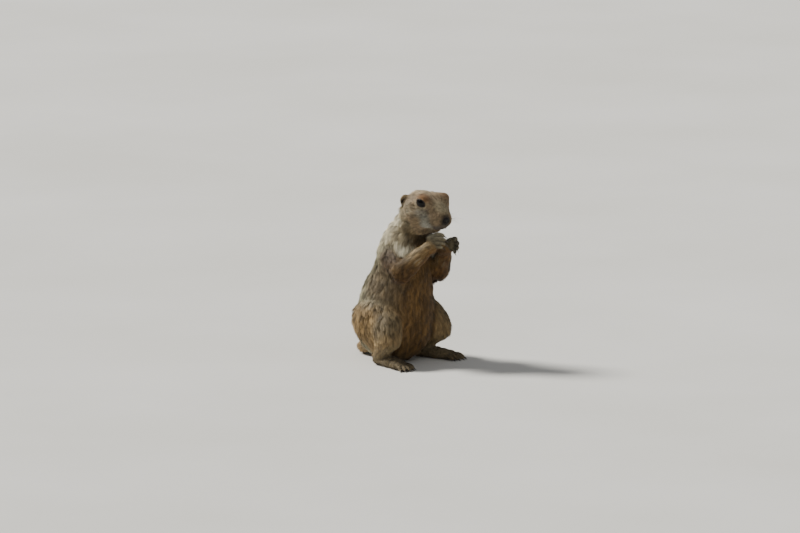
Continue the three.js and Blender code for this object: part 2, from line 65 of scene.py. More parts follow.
class Slot(Enum):
    """Names of material slots, listed beside the coat's pieces but not given to them."""

    BACK = "back_fur"
    BELLY = "belly_fur"
    LIMB = "limb_fur"
    PAW = "paw_fur"
    EAR = "ear_skin"
    EYE = "eye"
    NOSE = "nose_skin"
    TAIL_TIP = "tail_tip_fur"


# Plain sums


def unit(rows: Array) -> Array:
    """Gives each row the length 1."""
    return rows / np.maximum(np.linalg.norm(rows, axis=-1, keepdims=True), 1e-12)


def ease(low: float, high: float, value: Array) -> Array:
    """Rises softly from 0 at low to 1 at high, and falls where high is below low."""
    share = np.clip((value - low) / (high - low), 0, 1)
    return share * share * (3 - 2 * share)


def rows_dot(first: Array, second: Array) -> Array:
    """The dot product of each pair of rows."""
    return np.einsum("ij,ij->i", first, second)


def along_surface(ways: Array, normals: Array) -> Array:
    """Turns ways until they lie along the surface."""
    return unit(ways - rows_dot(ways, normals)[:, None] * normals)


def turned(first: Array, second: Array, angle: Array) -> Array:
    """Turns each row of first towards the row of second, by an angle in radians."""
    return first * np.cos(angle)[:, None] + second * np.sin(angle)[:, None]


def far_out(points: Array, at: Sequence[float], radii: Sequence[float]) -> Array:
    """How far out places lie in an egg shape: 1 on its surface."""
    return np.linalg.norm((points - np.array(at)) / np.array(radii), axis=1)


def linear(colour: Sequence[float]) -> Array:
    """Turns a colour as a paint chart gives it, 0 to 255, into the linear one that shaders add up.

    Args:
        colour: red, green and blue.

    Returns:
        The linear colour, 0 to 1.
    """
    share = np.array(colour, float) / 255
    return np.where(share <= 0.04045, share / 12.92, ((share + 0.055) / 1.055) ** 2.4)


def blend(base: Array, weight: Array, colour: Sequence[float]) -> None:
    """Moves linear colours towards a paint chart's colour, each row by its own weight."""
    base += weight[:, None] * (linear(colour) - base)


def ripple(points: Array, wavelength: float, seed: int) -> Array:
    """Smooth, seeded unevenness over space.

    Args:
        points: places in millimetres.
        wavelength: the size of its waves.
        seed: which pattern.

    Returns:
        One value a place, mostly from -1 to 1.
    """
    rng = np.random.default_rng(seed)
    total = np.zeros(len(points))
    for _ in range(7):
        way = unit(rng.normal(size=3)) * 2 * math.pi / (wavelength * rng.uniform(0.7, 1.5))
        total += np.sin(points @ way + rng.uniform(0, 2 * math.pi))
    return total / 2.6


def spread(values: Array, edges: Array, rounds: int, share: float | Array = 0.5) -> Array:
    """Evens values out along the edges of a mesh.

    Args:
        values: one number or one row a vertex.
        edges: pairs of vertices.
        rounds: how often each vertex moves towards its neighbours.
        share: how far it moves each time, for all or for each vertex.

    Returns:
        The evened rows.
    """
    count = len(values)
    flat = values.reshape(count, -1).astype(float)
    first, second = edges.T
    neighbours = np.bincount(edges.ravel(), minlength=count).clip(1)
    pull = share if np.isscalar(share) else share[:, None]
    for _ in range(rounds):
        sums = np.stack(
            [
                np.bincount(first, column[second], count) + np.bincount(second, column[first], count)
                for column in flat.T
            ],
            axis=1,
        )
        flat += pull * (sums / neighbours[:, None] - flat)
    return flat.reshape(values.shape)


def curve_through(points: Sequence[Point], count: int) -> Array:
    """Places evenly shared out on a smooth curve through points.

    Args:
        points: what the curve goes through.
        count: how many places.

    Returns:
        The places, one a row.
    """
    given = np.array(points, float)
    padded = np.vstack([2 * given[0] - given[1], given, 2 * given[-1] - given[-2]])
    at = np.linspace(0, len(given) - 1, count)
    start = np.minimum(at.astype(int), len(given) - 2)
    t = (at - start)[:, None]
    a, b, c, d = (padded[start + i] for i in range(4))
    return 0.5 * (2 * b + (c - a) * t + (2 * a - 5 * b + 4 * c - d) * t**2 + (3 * b - a - 3 * c + d) * t**3)


# Blender's tools


def only(*objects: Thing) -> None:
    """Selects just these objects, with the first one active.

    Args:
        objects: the objects.
    """
    bpy.ops.object.select_all(action="DESELECT")
    for thing in objects:
        thing.select_set(True)
    bpy.context.view_layer.objects.active = objects[0]


def apply_modifier(thing: Thing, kind: str, **settings: object) -> None:
    """Adds a modifier with these settings and applies it.

    Args:
        thing: the object.
        kind: Blender's name of the modifier.
        settings: the modifier's settings.
    """
    only(thing)
    modifier = thing.modifiers.new(kind.lower(), kind)
    for name, value in settings.items():
        setattr(modifier, name, value)
    bpy.ops.object.modifier_apply(modifier=modifier.name)


def link(name: str, data: bpy.types.ID) -> Thing:
    """Makes an object of data such as a mesh, a light or a camera, and puts it in the scene.

    Args:
        name: its name.
        data: what it shows.

    Returns:
        The object.
    """
    made = bpy.data.objects.new(name, data)
    bpy.context.scene.collection.objects.link(made)
    return made


def add(name: str, primitive: Callable, **settings: object) -> Thing:
    """Adds a primitive with nothing else selected.

    Args:
        name: the new object's name.
        primitive: Blender's operator.
        settings: what the operator is told.

    Returns:
        The new object, at the origin.
    """
    bpy.ops.object.select_all(action="DESELECT")
    primitive(**settings)
    made = bpy.context.object
    made.name = made.data.name = name
    return made


def on_whole(thing: Thing, operator: Callable, **settings: object) -> None:
    """Runs one of Blender's edit mode operators on the whole of a mesh.

    Args:
        thing: the object.
        operator: Blender's operator.
        settings: what the operator is told.
    """
    only(thing)
    bpy.ops.object.mode_set(mode="EDIT")
    bpy.ops.mesh.select_all(action="SELECT")
    operator(**settings)
    bpy.ops.object.mode_set(mode="OBJECT")


def close_up(thing: Thing) -> None:
    """Turns all faces of a closed mesh outwards and shades it smooth."""
    on_whole(thing, bpy.ops.mesh.normals_make_consistent, inside=False)
    thing.data.shade_smooth()


def join(name: str, things: Sequence[Thing]) -> Thing:
    """Joins objects into one with this name.

    Args:
        name: the name of the whole.
        things: the objects.

    Returns:
        The whole.
    """
    only(*things)
    if len(things) > 1:
        bpy.ops.object.join()
    whole = bpy.context.view_layer.objects.active
    whole.name = whole.data.name = name
    return whole


def read(rows: bpy.types.bpy_prop_collection, name: str, width: int, kind: type = np.float32) -> Array:
    """Reads one value from each row of a mesh's data.

    Args:
        rows: the mesh's vertices, edges, corners or the like.
        name: which of their values.
        width: how many numbers the value has.
        kind: the type of those numbers.

    Returns:
        The values, one a row.
    """
    flat = np.empty(len(rows) * width, kind)
    rows.foreach_get(name, flat)
    return flat.reshape(-1, width)


def points_of(thing: Thing) -> Array:
    """The places of an object's vertices, in millimetres."""
    return read(thing.data.vertices, "co", 3).astype(float) / MM


def normals_of(thing: Thing) -> Array:
    """The directions in which an object's vertices face."""
    return read(thing.data.vertex_normals, "vector", 3).astype(float)


def edges_of(thing: Thing) -> Array:
    """The edges of an object, as pairs of vertices."""
    return read(thing.data.edges, "vertices", 2, np.int32)


def place_points(thing: Thing, points: Array) -> None:
    """Moves an object's vertices to places in millimetres."""
    thing.data.vertices.foreach_set("co", (points * MM).astype(np.float32).ravel())
    thing.data.update()


def paint(thing: Thing, name: str, colours: Array) -> None:
    """Writes one linear colour a vertex as a named attribute.

    Args:
        thing: the object.
        name: the attribute's name.
        colours: one linear colour a vertex.
    """
    layer = thing.data.attributes.new(name, "FLOAT_COLOR", "POINT")
    full = np.ones((len(colours), 4), np.float32)
    full[:, :3] = colours
    layer.data.foreach_set("color", full.ravel())


def finish_piece(
    thing: Thing, material: bpy.types.Material, nodes: Sequence[str] = ()
) -> Thing:
    """Gives a piece its material, hangs it under the root and hides the CAD nodes that it stands for.

    Args:
        thing: the piece, in place.
        material: its finish.
        nodes: the CAD nodes that it stands for.

    Returns:
        The piece.
    """
    thing.data.materials.clear()
    thing.data.materials.append(material)
    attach(thing, "root")
    if nodes:
        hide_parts(*nodes)
    thing.select_set(False)
    log.info("%s: %d faces", thing.name, len(thing.data.polygons))
    return thing


# Finishes


class Wiring:
    """One material and its nodes, wired by name."""

    def __init__(self, name: str) -> None:
        """Starts a material with its shader and output."""
        self.material = bpy.data.materials.new(name)
        self.material.use_nodes = True
        self.tree = self.material.node_tree
        self.shader = self.tree.nodes["Principled BSDF"]

    def node(self, kind: str, inputs: Optional[dict] = None, **settings: object) -> bpy.types.Node:
        """Adds a node.

        Args:
            kind: its type, without the leading ShaderNode.
            inputs: a number, a colour or another node's output for each input, by name or number.
            settings: its own settings.

        Returns:
            The node.
        """
        made = self.tree.nodes.new(f"ShaderNode{kind}")
        for name, value in settings.items():
            setattr(made, name, value)
        for name, value in (inputs or {}).items():
            self.feed(made.inputs[name], value)
        return made

    def feed(self, socket: Socket, value: object) -> None:
        """Sets a socket, or links it where value is another node's output."""
        if isinstance(value, Socket):
            self.tree.links.new(value, socket)
        else:
            socket.default_value = value

    def shade(self, **inputs: object) -> None:
        """Feeds the shader's inputs, with underscores for spaces in their names."""
        for name, value in inputs.items():
            self.feed(self.shader.inputs[name.replace("_", " ")], value)

    def place(self) -> Socket:
        """The place on the object, in metres."""
        return self.node("TexCoord").outputs["Object"]

    def noise(self, scale: float, detail: float = 3, place: Optional[Socket] = None) -> Socket:
        """Clouds of one size, scale of them to a metre.

        Args:
            scale: how many to a metre.
            detail: how much finer clouds lie in them.
            place: where they are read, by default on the object.

        Returns:
            The output with their value.
        """
        spot = self.place() if place is None else place
        return self.node("TexNoise", {"Vector": spot, "Scale": scale, "Detail": detail}).outputs["Fac"]

    def between(self, share: Socket, low: float, high: float) -> Socket:
        """A number from low to high as share goes from 0.3 to 0.7.

        Args:
            share: the output that is read.
            low: the number at 0.3.
            high: the number at 0.7.

        Returns:
            The output with the number.
        """
        ends = {"From Min": 0.3, "From Max": 0.7, "To Min": low, "To Max": high}
        return self.node("MapRange", {"Value": share} | ends).outputs["Result"]

    def mix(self, share: object, first: object, second: object, way: str = "MIX") -> Socket:
        """Mixes two colours.

        Args:
            share: how much of the second.
            first: a colour or an output.
            second: a colour or an output.
            way: Blender's name of the way they are mixed.

        Returns:
            The output with the mixed colour.
        """
        made = self.node("Mix", data_type="RGBA", blend_type=way)
        for socket, value in zip((made.inputs[0], made.inputs[6], made.inputs[7]), (share, first, second)):
            self.feed(socket, value)
        return made.outputs[2]

    def bump(self, height: Socket, depth: float) -> Socket:
        """Raises the surface by height, depth millimetres at most."""
        made = self.node("Bump", {"Height": height, "Distance": depth * MM, "Strength": 1.0})
        return made.outputs["Normal"]


def chart(colour: Sequence[float]) -> tuple:
    """A paint chart's colour as a shader's colour with full cover."""
    return (*linear(colour), 1.0)


@dataclass(frozen=True)
class FurFinish:
    """Fur, or the skin under it, in the colours that its own mesh carries."""

    name: str
    roughness: float = 0.62
    unevenness: float = 0.07
    gloss: float = 0.22
    sheen: float = 0.16
    sheen_roughness: float = 0.45
    sheen_tint: tuple = (1.0, 0.93, 0.82, 1.0)
    mottle: float = 0.14
    fine_mottle_scale: float = 900
    broad_mottle_scale: float = 75
    broad_mottle_share: float = 0.6
    roughness_scale: float = 420
    bump_scale: float = 1500
    bump: float = 0.0

    def make(self) -> bpy.types.Material:
        """Makes the material.

        Returns:
            The material.
        """
        wiring = Wiring(self.name)
        colour = wiring.node("Attribute", attribute_name="coat_colour").outputs["Color"]
        broad_mottle = self.mottle * self.broad_mottle_share
        fine = wiring.between(wiring.noise(self.fine_mottle_scale, 2), 1 - self.mottle, 1 + self.mottle)
        broad = wiring.between(wiring.noise(self.broad_mottle_scale, 4), 1 - broad_mottle, 1 + broad_mottle)
        light = wiring.node("Math", {0: fine, 1: broad}, operation="MULTIPLY").outputs[0]
        shade = wiring.node("CombineColor", {"Red": light, "Green": light, "Blue": light}).outputs[0]
        cloud = wiring.noise(self.roughness_scale, 2)
        rough = wiring.between(cloud, self.roughness - self.unevenness, self.roughness + self.unevenness)
        wiring.shade(
            Base_Color=wiring.mix(1.0, colour, shade, "MULTIPLY"),
            Roughness=rough,
            Specular_IOR_Level=self.gloss,
            Sheen_Weight=self.sheen,
            Sheen_Roughness=self.sheen_roughness,
            Sheen_Tint=self.sheen_tint,
        )
        if self.bump:
            wiring.shade(Normal=wiring.bump(wiring.noise(self.bump_scale, 4), self.bump))
        return wiring.material


@dataclass(frozen=True)
class BareFinish:
    """Bare skin, horn or a whisker: two colours in clouds, a fine grain and some gloss."""

    name: str
    dark: Point
    light: Point
    grain: float
    roughness: float
    unevenness: float = 0.08
    gloss: float = 0.5
    bump: float = 0.1

    def make(self) -> bpy.types.Material:
        """Makes the material.

        Returns:
            The material.
        """
        wiring = Wiring(self.name)
        grain = wiring.noise(self.grain, 4)
        share = wiring.between(grain, 0.0, 1.0)
        rough = wiring.between(grain, self.roughness - self.unevenness, self.roughness + self.unevenness)
        wiring.shade(
            Base_Color=wiring.mix(share, chart(self.dark), chart(self.light)),
            Roughness=rough,
            Specular_IOR_Level=self.gloss,
            Normal=wiring.bump(grain, self.bump),
        )
        return wiring.material


@dataclass(frozen=True)
class EyeFinish:
    """A dark wet eye: a black pupil in a deep brown iris under a clear gloss."""

    name: str = "wet_eye"
    pupil: Point = (4, 3, 3)
    iris: Point = (20, 13, 9)
    pupil_turn: float = 0.4
    iris_turn: float = 0.62
    fibre_scale: float = 1600
    density: float = 1.336
    gloss: float = 0.3

    def make(self) -> bpy.types.Material:
        """Makes the material.

        Returns:
            The material.
        """
        wiring = Wiring(self.name)
        depth = wiring.node("Attribute", attribute_name="iris_share").outputs["Fac"]
        fibre = wiring.noise(self.fibre_scale, 3)
        iris = wiring.mix(wiring.between(fibre, 0.2, 1.0), chart(self.pupil), chart(self.iris))
        turns = {"From Min": self.pupil_turn, "From Max": self.iris_turn}
        ring = wiring.node("MapRange", {"Value": depth} | turns).outputs[0]
        wiring.shade(
            Base_Color=wiring.mix(ring, chart(self.pupil), iris),
            Roughness=wiring.between(fibre, 0.04, 0.07),
            IOR=self.density,
            Specular_IOR_Level=self.gloss,
        )
        return wiring.material


@dataclass(frozen=True)
class FloorFinish:
    """A pale matt studio floor."""

    name: str = "pale_floor"
    light: Point = (214, 212, 207)
    dark: Point = (206, 204, 198)
    gloss: float = 0.2

    def make(self) -> bpy.types.Material:
        """Makes the material.

        Returns:
            The material.
        """
        wiring = Wiring(self.name)
        cloud = wiring.noise(3, 5)
        wiring.shade(
            Base_Color=wiring.mix(wiring.between(cloud, 0.0, 1.0), chart(self.dark), chart(self.light)),
            Roughness=wiring.between(cloud, 0.82, 0.9),
            Specular_IOR_Level=self.gloss,
        )
        return wiring.material


# The animal's places


@dataclass(frozen=True)
class HeadFrame:
    """The head's own directions: across it to the left, forward to the nose and up out of the crown."""

    at: Point = (-1.2, -48.3, 186.6)
    drop: float = 14.0
    turn: float = -12.0

    @property
    def axes(self) -> Array:
        """Left, forward and up, one a row.

        Returns:
            The three directions, one a row.
        """
        about = Matrix.Rotation(math.radians(self.turn), 3, "Z")
        columns = np.array(about @ Matrix.Rotation(math.radians(self.drop), 3, "X"))
        return np.array([columns[:, 0], -columns[:, 1], columns[:, 2]])

    def out(self, left: float, forward: float, up: float) -> Array:
        """The place that lies left, forward and up from between the eyes."""
        return np.array(self.at) + np.array([left, forward, up]) @ self.axes

    def inside(self, points: Array) -> Array:
        """How far left, forward and up places lie."""
        return (points - np.array(self.at)) @ self.axes.T


HEAD = HeadFrame()


@dataclass(frozen=True)
class EyePlace:
    """Where an eye lies, how it faces and how its lids open."""

    left: float = 14.4
    forward: float = 6.4
    up: float = 4.0
    radius: float = 6.8
    facing_forward: float = 0.44
    facing_up: float = 0.12
    reach: float = 5.5
    rise: float = 3.9
    fall: float = 3.5
    tilt: float = 16.0

    def centre(self, side: int) -> Array:
        """The middle of the eyeball."""
        return HEAD.out(self.left * side, self.forward, self.up)

    def axes(self, side: int) -> Array:
        """Ahead along the opening, up across it and out of the eye, one a row.

        Args:
            side: 1 for the left and -1 for the right.

        Returns:
            The three directions, one a row.
        """
        out = unit(np.array([side, self.facing_forward, self.facing_up]) @ HEAD.axes)
        ahead = unit(HEAD.axes[1] - out * (HEAD.axes[1] @ out))
        ahead = np.array(Matrix.Rotation(math.radians(self.tilt * side), 3, Vector(out)) @ Vector(ahead))
        above = np.cross(out, ahead)
        return np.array([ahead, above if above[2] > 0 else -above, out])

    def share(self, points: Array, side: int) -> tuple[Array, Array]:
        """How far out places lie in the leaf of the lids.

        Args:
            points: the places.
            side: 1 for the left eye and -1 for the right.

        Returns:
            Their share of the way to the lids' edge, and how far they stand out of the eye's middle.
        """
        ahead, above, out = ((points - self.centre(side)) @ self.axes(side).T).T
        return self.leaf(ahead, above), out

    def leaf(self, ahead: Array, above: Array) -> Array:
        """How far out places lie in the leaf, between an ellipse and two arcs that meet in a point.

        Args:
            ahead: how far ahead of the eye's middle they lie.
            above: how far above it.

        Returns:
            The share of the way to the lids' edge.
        """
        across = np.abs(ahead) / self.reach
        up = np.abs(above) / np.where(above > 0, self.rise, self.fall)
        arcs = (up + np.sqrt(up * up + 4 * across * across)) / 2
        return 0.45 * np.hypot(across, up) + 0.55 * arcs

    def rim(self, side: int, turns: Array, wider: float = 1.0) -> Array:
        """Places round the lids' edge, on the eyeball.

        Args:
            side: 1 for the left eye and -1 for the right.
            turns: the angles round the opening.
            wider: the share of the leaf's own size.

        Returns:
            The places, one a row.
        """
        ahead, above = np.cos(turns) * self.reach, np.sin(turns) * self.rise
        ahead, above = wider * np.array([ahead, above]) / self.leaf(ahead, above)
        out = np.sqrt(np.maximum(self.radius**2 - ahead**2 - above**2, 0))
        return self.centre(side) + np.stack([ahead, above, out], 1) @ self.axes(side)


EYE = EyePlace()

# The mouth as the solids have it, which is smoothed away, and as the skin has it, lower and shorter
SOLIDS_MOUTH = (
    (0, 33, -13),
    (1.6, 32, -16.4),
    (5.4, 29, -18.4),
    (9, 24, -18.4),
    (12, 17, -17),
    (14, 11, -15),
)
MOUTH_LINE = (
    (0, 32, -19),
    (2.4, 30.5, -20.8),
    (5.4, 28, -22),
    (7.6, 24.5, -22.8),
    (8.8, 20.5, -23.4),
    (9.4, 17, -23.4),
)
PHILTRUM = ((0, 36, -12.6), (0, 35, -14.6), (0, 34, -16.8), (0, 32, -19))
# The back edge of the whiskers' pad
PAD_EDGE = ((12.5, 21, -2), (14.6, 18.5, -8), (13.8, 17, -14), (11.8, 17.2, -19))


@dataclass(frozen=True)
class EarPlace:
    """An ear: a flat round mass at the side of the head with a cup hollowed out of its front."""

    at: Point = (18.9, -19.3, -3.1)
    radii: Point = (5.3, 4.0, 6.4)
    cup: Point = (22.0, -16.7, -3.1)
    cup_radii: Point = (3.7, 3.9, 4.7)
    turn: float = 0.5

    def axes(self, side: int) -> Array:
        """The ear's own directions, one a row."""
        left, ahead, above = HEAD.axes
        return np.array(Matrix.Rotation(side * self.turn, 3, "Z")).T @ np.array([left, -ahead, above])

    def place(self, side: int, of: Point) -> Array:
        """A place given in the head's own directions, on one side."""
        return HEAD.out(of[0] * side, of[1], of[2])

    def in_cup(self, points: Array, side: int) -> Array:
        """How far out places lie in the cup: 1 on its wall."""
        local = (points - self.place(side, self.cup)) @ self.axes(side).T
        return far_out(local, (0, 0, 0), self.cup_radii)

    def in_either_cup(self, points: Array) -> Array:
        """How far out places lie in the nearer cup."""
        return np.minimum(self.in_cup(points, 1), self.in_cup(points, -1))

    def hollow(self, points: Array, side: int) -> Array:
        """Moves those places of the ear's mass that lie in the cup on to the cup's wall.

        Args:
            points: places in millimetres.
            side: 1 for the left and -1 for the right.

        Returns:
            The moved places.
        """
        way = unit(self.place(side, self.at) - self.place(side, self.cup))
        radii = np.array(self.cup_radii)
        start = (points - self.place(side, self.cup)) @ self.axes(side).T / radii
        step = (way @ self.axes(side).T) / radii
        a, b, c = step @ step, start @ step, rows_dot(start, start) - 1
        reach = (-b + np.sqrt(np.maximum(b * b - a * c, 0))) / a
        return points + np.where(c < 0, reach, 0)[:, None] * way


EAR = EarPlace()


@dataclass(frozen=True)
class Digit:
    """A finger or toe: its root, knuckle and tip, the way that its claw points and the claw's size."""

    root: Array
    knuckle: Array
    tip: Array
    way: Array
    length: float
    radius: float

    def line(self, share: float) -> Array:
        """A place on the digit's middle line, share of the way to the tip."""
        return (1 - share) ** 2 * self.root + 2 * share * (1 - share) * self.knuckle + share**2 * self.tip


@dataclass(frozen=True)
class Paws:
    """The places of all fingers and toes, as the solids have them."""

    fingers: tuple = (
        ((10.4, -67, 151.5), (9.4, -74, 154.5), (5.6, -76, 152)),
        ((11.4, -68, 148), (10.6, -76, 150), (5.8, -78.4, 147.4)),
        ((11.6, -67.6, 144), (10.8, -75.4, 144.6), (5.8, -77.6, 142.6)),
        ((11, -66, 140.6), (10.2, -72, 139.6), (6, -74, 138.2)),
    )
    thumb: tuple = ((9, -61, 148.6), (6.2, -64, 150.6), (4.4, -68, 150))
    hand_moves: tuple = ((1.6, -4.5, -6.4), (1.6, 1.9, 0.4))
    claw_way: Point = (-0.34, -0.86, -0.38)
    ball: Point = (43, -41, 5)
    toes: int = 5
    spread: float = 0.42
    splay: float = 0.24
    toe_length: float = 12.0
    drop: float = 1.6
    arch: float = 2.6
    apart: float = 12.0
    claw_drop: float = 0.34
    crease: float = 0.9
    palm: tuple = (
        ((11.4, -64, 146), (4.3, 6.3, 6.9)),
        ((11.6, -60.5, 145), (4.2, 5.4, 5.8)),
        ((12.4, -60.5, 141.5), (4.4, 5.2, 5.2)),
    )
    sole: tuple = (
        ((35, -5, 8), (6.9, 9.4, 8.0)),
        ((36.6, -13, 7.2), (7.2, 9.6, 7.6)),
        ((38.5, -23, 6.4), (8.0, 12.4, 7.0)),
        ((41, -33, 5.6), (8.6, 9, 6.0)),
        ((43, -40, 5), (9.2, 7.6, 5.2)),
    )
    finger_radii: Point = (2.3, 2.25, 1.75)
    thumb_radii: Point = (1.6, 1.5, 1.2)
    toe_radii: Point = (2.5, 2.3, 1.8)
    finger_claw: tuple = (6.6, 1.15)
    thumb_claw: tuple = (3.2, 0.85)
    toe_claw: tuple = (6.2, 1.25)
    line_steps: int = 18

    def mirror(self, word: str) -> Array:
        """What a place of the left side is multiplied by."""
        return np.array([SIDES[word], 1, 1])

    def move(self, word: str) -> Array:
        """How far a hand is moved from the place of the list above, before it is mirrored."""
        return np.array(self.hand_moves[0 if word == "left" else 1])

    def digits(self, part: str, word: str) -> list[Digit]:
        """The digits of one hand or foot."""
        return self.hand(word) if part == "hand" else self.foot(word)

    def masses(self, part: str, word: str) -> list[tuple[Array, Array]]:
        """The round masses of one hand or foot.

        Args:
            part: hand or foot.
            word: left or right.

        Returns:
            The middle and the radii of each mass.
        """
        hand = part == "hand"
        move = self.move(word) if hand else np.zeros(3)
        flesh = self.palm if hand else self.sole
        made = [((np.array(at, float) + move) * self.mirror(word), np.array(radii)) for at, radii in flesh]
        middle = made[0 if hand else -2][0]
        digits = self.digits(part, word)
        for digit in digits:
            thumb = hand and digit is digits[-1]
            radii = self.thumb_radii if thumb else self.finger_radii if hand else self.toe_radii
            for share in np.linspace(0, 1, 12):
                size = np.interp(share, (0, 0.6, 1), radii)
                made.append((digit.line(share), np.full(3, size)))
            for share in (0.2, 0.4, 0.6, 0.8):
                made.append((middle + share * (digit.root - middle), np.full(3, radii[0])))
        return made

    def near_digits(self, points: Array, kinds: Array) -> tuple[Array, Array, Array]:
        """How places on hands and feet lie by the nearest finger or toe.

        Args:
            points: the places.
            kinds: the stretch of the body that each is on.

        Returns:
            A share that is 1 in the crease between two digits, a share that is 1 on a digit, and the
            digit's way.
        """
        crease, on_digit, ways = np.zeros(len(points)), np.zeros(len(points)), np.zeros((len(points), 3))
        shares = np.linspace(0, 1, self.line_steps)
        for part, word in PAW_NAMES:
            here = np.flatnonzero(of_kinds(kinds, part) & (points[:, 0] * SIDES[word] > 0))
            lines = np.array([[digit.line(share) for share in shares] for digit in self.digits(part, word)])
            far = np.linalg.norm(points[here][None, :, None] - lines[:, None], axis=3)
            nearest, step = far.min(2), far.argmin(2)
            order = np.argsort(nearest, axis=0)
            first, second = np.take_along_axis(nearest, order[:2], 0)
            along, next_along = (step[order[i], np.arange(len(here))] for i in (0, 1))
            ways[here] = unit(np.gradient(lines, axis=1)[order[0], along])
            on_digit[here] = ease(0, 5, along)
            between = np.exp(-(((second - first) / self.crease) ** 2))
            crease[here] = between * ease(0, 4, np.minimum(along, next_along))
        return crease, on_digit, ways

    def hand(self, word: str) -> list[Digit]:
        """The digits of one hand, the thumb last.

        Args:
            word: left or right.

        Returns:
            The digits.
        """
        mirror = self.mirror(word)
        way = unit(np.array(self.claw_way) * mirror)
        made = []
        for bones in (*self.fingers, self.thumb):
            joints = ((np.array(at, float) + self.move(word)) * mirror for at in bones)
            made.append(Digit(*joints, way, *(self.thumb_claw if bones is self.thumb else self.finger_claw)))
        return made

    def foot(self, word: str) -> list[Digit]:
        """The digits of one foot, from the inner toe out.

        Args:
            word: left or right.

        Returns:
            The digits.
        """
        mirror = self.mirror(word)
        made = []
        for i in range(self.toes):
            fan = i / (self.toes - 1) - 0.5
            turn = self.splay + fan * 2 * self.spread
            ahead = np.array([math.sin(turn), -math.cos(turn), 0])
            root = np.array(self.ball) + [fan * self.apart, -2, -0.6]
            tip = root + ahead * self.toe_length * (1.15 - 1.2 * fan * fan)
            tip[2] -= self.drop
            knuckle = root + 0.6 * (tip - root) + [0, 0, self.arch]
            way = unit(ahead + [0, 0, -self.claw_drop])
            made.append(Digit(root * mirror, knuckle * mirror, tip * mirror, way * mirror, *self.toe_claw))
        return made


PAWS = Paws()
TAIL_PATH = ((2, 34, 16), (7, 52, 9.5), (26, 65, 6), (50, 62, 5.6), (73, 45, 5.4))
# Where each stretch of the limbs starts and ends, on the left side
LIMB_LINES = {
    "upper_arm": ((22, -14, 122), (35.4, -34, 105)),
    "forearm": ((35.4, -34, 105), (14.2, -60.5, 136)),
    "thigh": ((33, 20, 80), (40, 14, 20)),
    "shank": ((45, -26, 34), (36, -2, 10)),
}


# The coat's growth and colours


@dataclass(frozen=True)
class Growth:
    """How the coat grows on one stretch of the body.

    length, width and apart are of one tuft and of the clumps that tufts gather in, lift is in degrees,
    depth is how far the skin lies inside the solids, and cover is how many tufts lie over each place.
    """

    length: float
    width: float
    lift: float
    depth: float
    cover: float
    apart: float
    gather: float
    colour: Point
    smoothing: float


GROWTH: dict[str, Growth] = {
    "torso": Growth(8.5, 0.34, 14, 2.0, 5.6, 5.2, 0.55, (152, 145, 117), 1.0),
    "neck": Growth(8.5, 0.33, 16, 2.0, 5.6, 5.0, 0.58, (158, 145, 116), 0.8),
    "head": Growth(4.2, 0.24, 13, 1.0, 4.6, 2.6, 0.36, (140, 121, 94), 0.20),
    "nose": Growth(1.2, 0.18, 12, 0.4, 3.4, 1.5, 0.2, (70, 58, 46), 0.05),
    "eye": Growth(1.4, 0.18, 10, 0.3, 3.4, 1.5, 0.2, (80, 66, 50), 0.05),
    "ear": Growth(1.7, 0.18, 16, 0.0, 3.6, 1.5, 0.2, (166, 146, 112), 0.08),
    # The upper arms' dark brown is partly painted shade.
    "upper_arm": Growth(7.0, 0.33, 17, 1.7, 5.2, 4.8, 0.52, (90, 66, 36), 0.7),
    "forearm": Growth(5.8, 0.28, 19, 1.2, 4.8, 3.2, 0.38, (132, 106, 68), 0.45),
    "hand": Growth(1.8, 0.17, 10, 0.0, 3.2, 1.3, 0.22, (118, 109, 86), 0.08),
    "thigh": Growth(8.5, 0.34, 14, 2.0, 5.4, 4.8, 0.52, (150, 124, 84), 1.0),
    "shank": Growth(5.0, 0.30, 14, 1.2, 4.8, 3.6, 0.45, (128, 112, 82), 0.5),
    "foot": Growth(2.5, 0.21, 13, 0.0, 3.4, 1.8, 0.25, (132, 117, 90), 0.10),
    "tail_root": Growth(8.5, 0.34, 16, 1.8, 5.2, 4.4, 0.5, (150, 124, 86), 0.6),
    "tail_middle": Growth(9.0, 0.34, 19, 1.8, 5.2, 4.4, 0.5, (138, 110, 74), 0.5),
    "tail_brush": Growth(12.0, 0.34, 22, 2.2, 5.4, 4.6, 0.5, (52, 42, 35), 0.5),
}
KINDS = list(GROWTH)
FACE_KINDS = ("head", "nose", "eye")
BUILT_AFRESH = ("ear", "hand", "foot")


def kind_of(node: str) -> str:
    """The stretch of the coat that a CAD node has."""
    return node.removesuffix("_left").removesuffix("_right")


def nodes_of(*kinds: str) -> list[str]:
    """The CAD nodes of these stretches that fur covers."""
    covered = [kind for kind in kinds if kind not in ("eye", "nose")]
    return [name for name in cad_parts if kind_of(name) in covered]


def of_kinds(kinds: Array, *names: str) -> Array:
    """Which of the places are on one of the named stretches of the coat."""
    return np.isin(kinds, [KINDS.index(name) for name in names])


@dataclass(frozen=True)
class Marking:
    """A soft-edged mark in the coat, on the head or the body, in the middle, on both sides or on one side."""

    at: Point
    radii: Point
    colour: Point
    strength: float = 1.0
    on_head: bool = True
    both_sides: bool = True

    def weigh(self, points: Array, head_points: Array) -> Array:
        """How strongly each place has the mark.

        Args:
            points: places in the body's frame.
            head_points: the same places in the head's frame.

        Returns:
            A share for each place.
        """
        where = (head_points if self.on_head else points).copy()
        if self.at[0] and self.both_sides:
            where[:, 0] = np.abs(where[:, 0])
        return self.strength * ease(1.25, 0.45, far_out(where, self.at, self.radii))
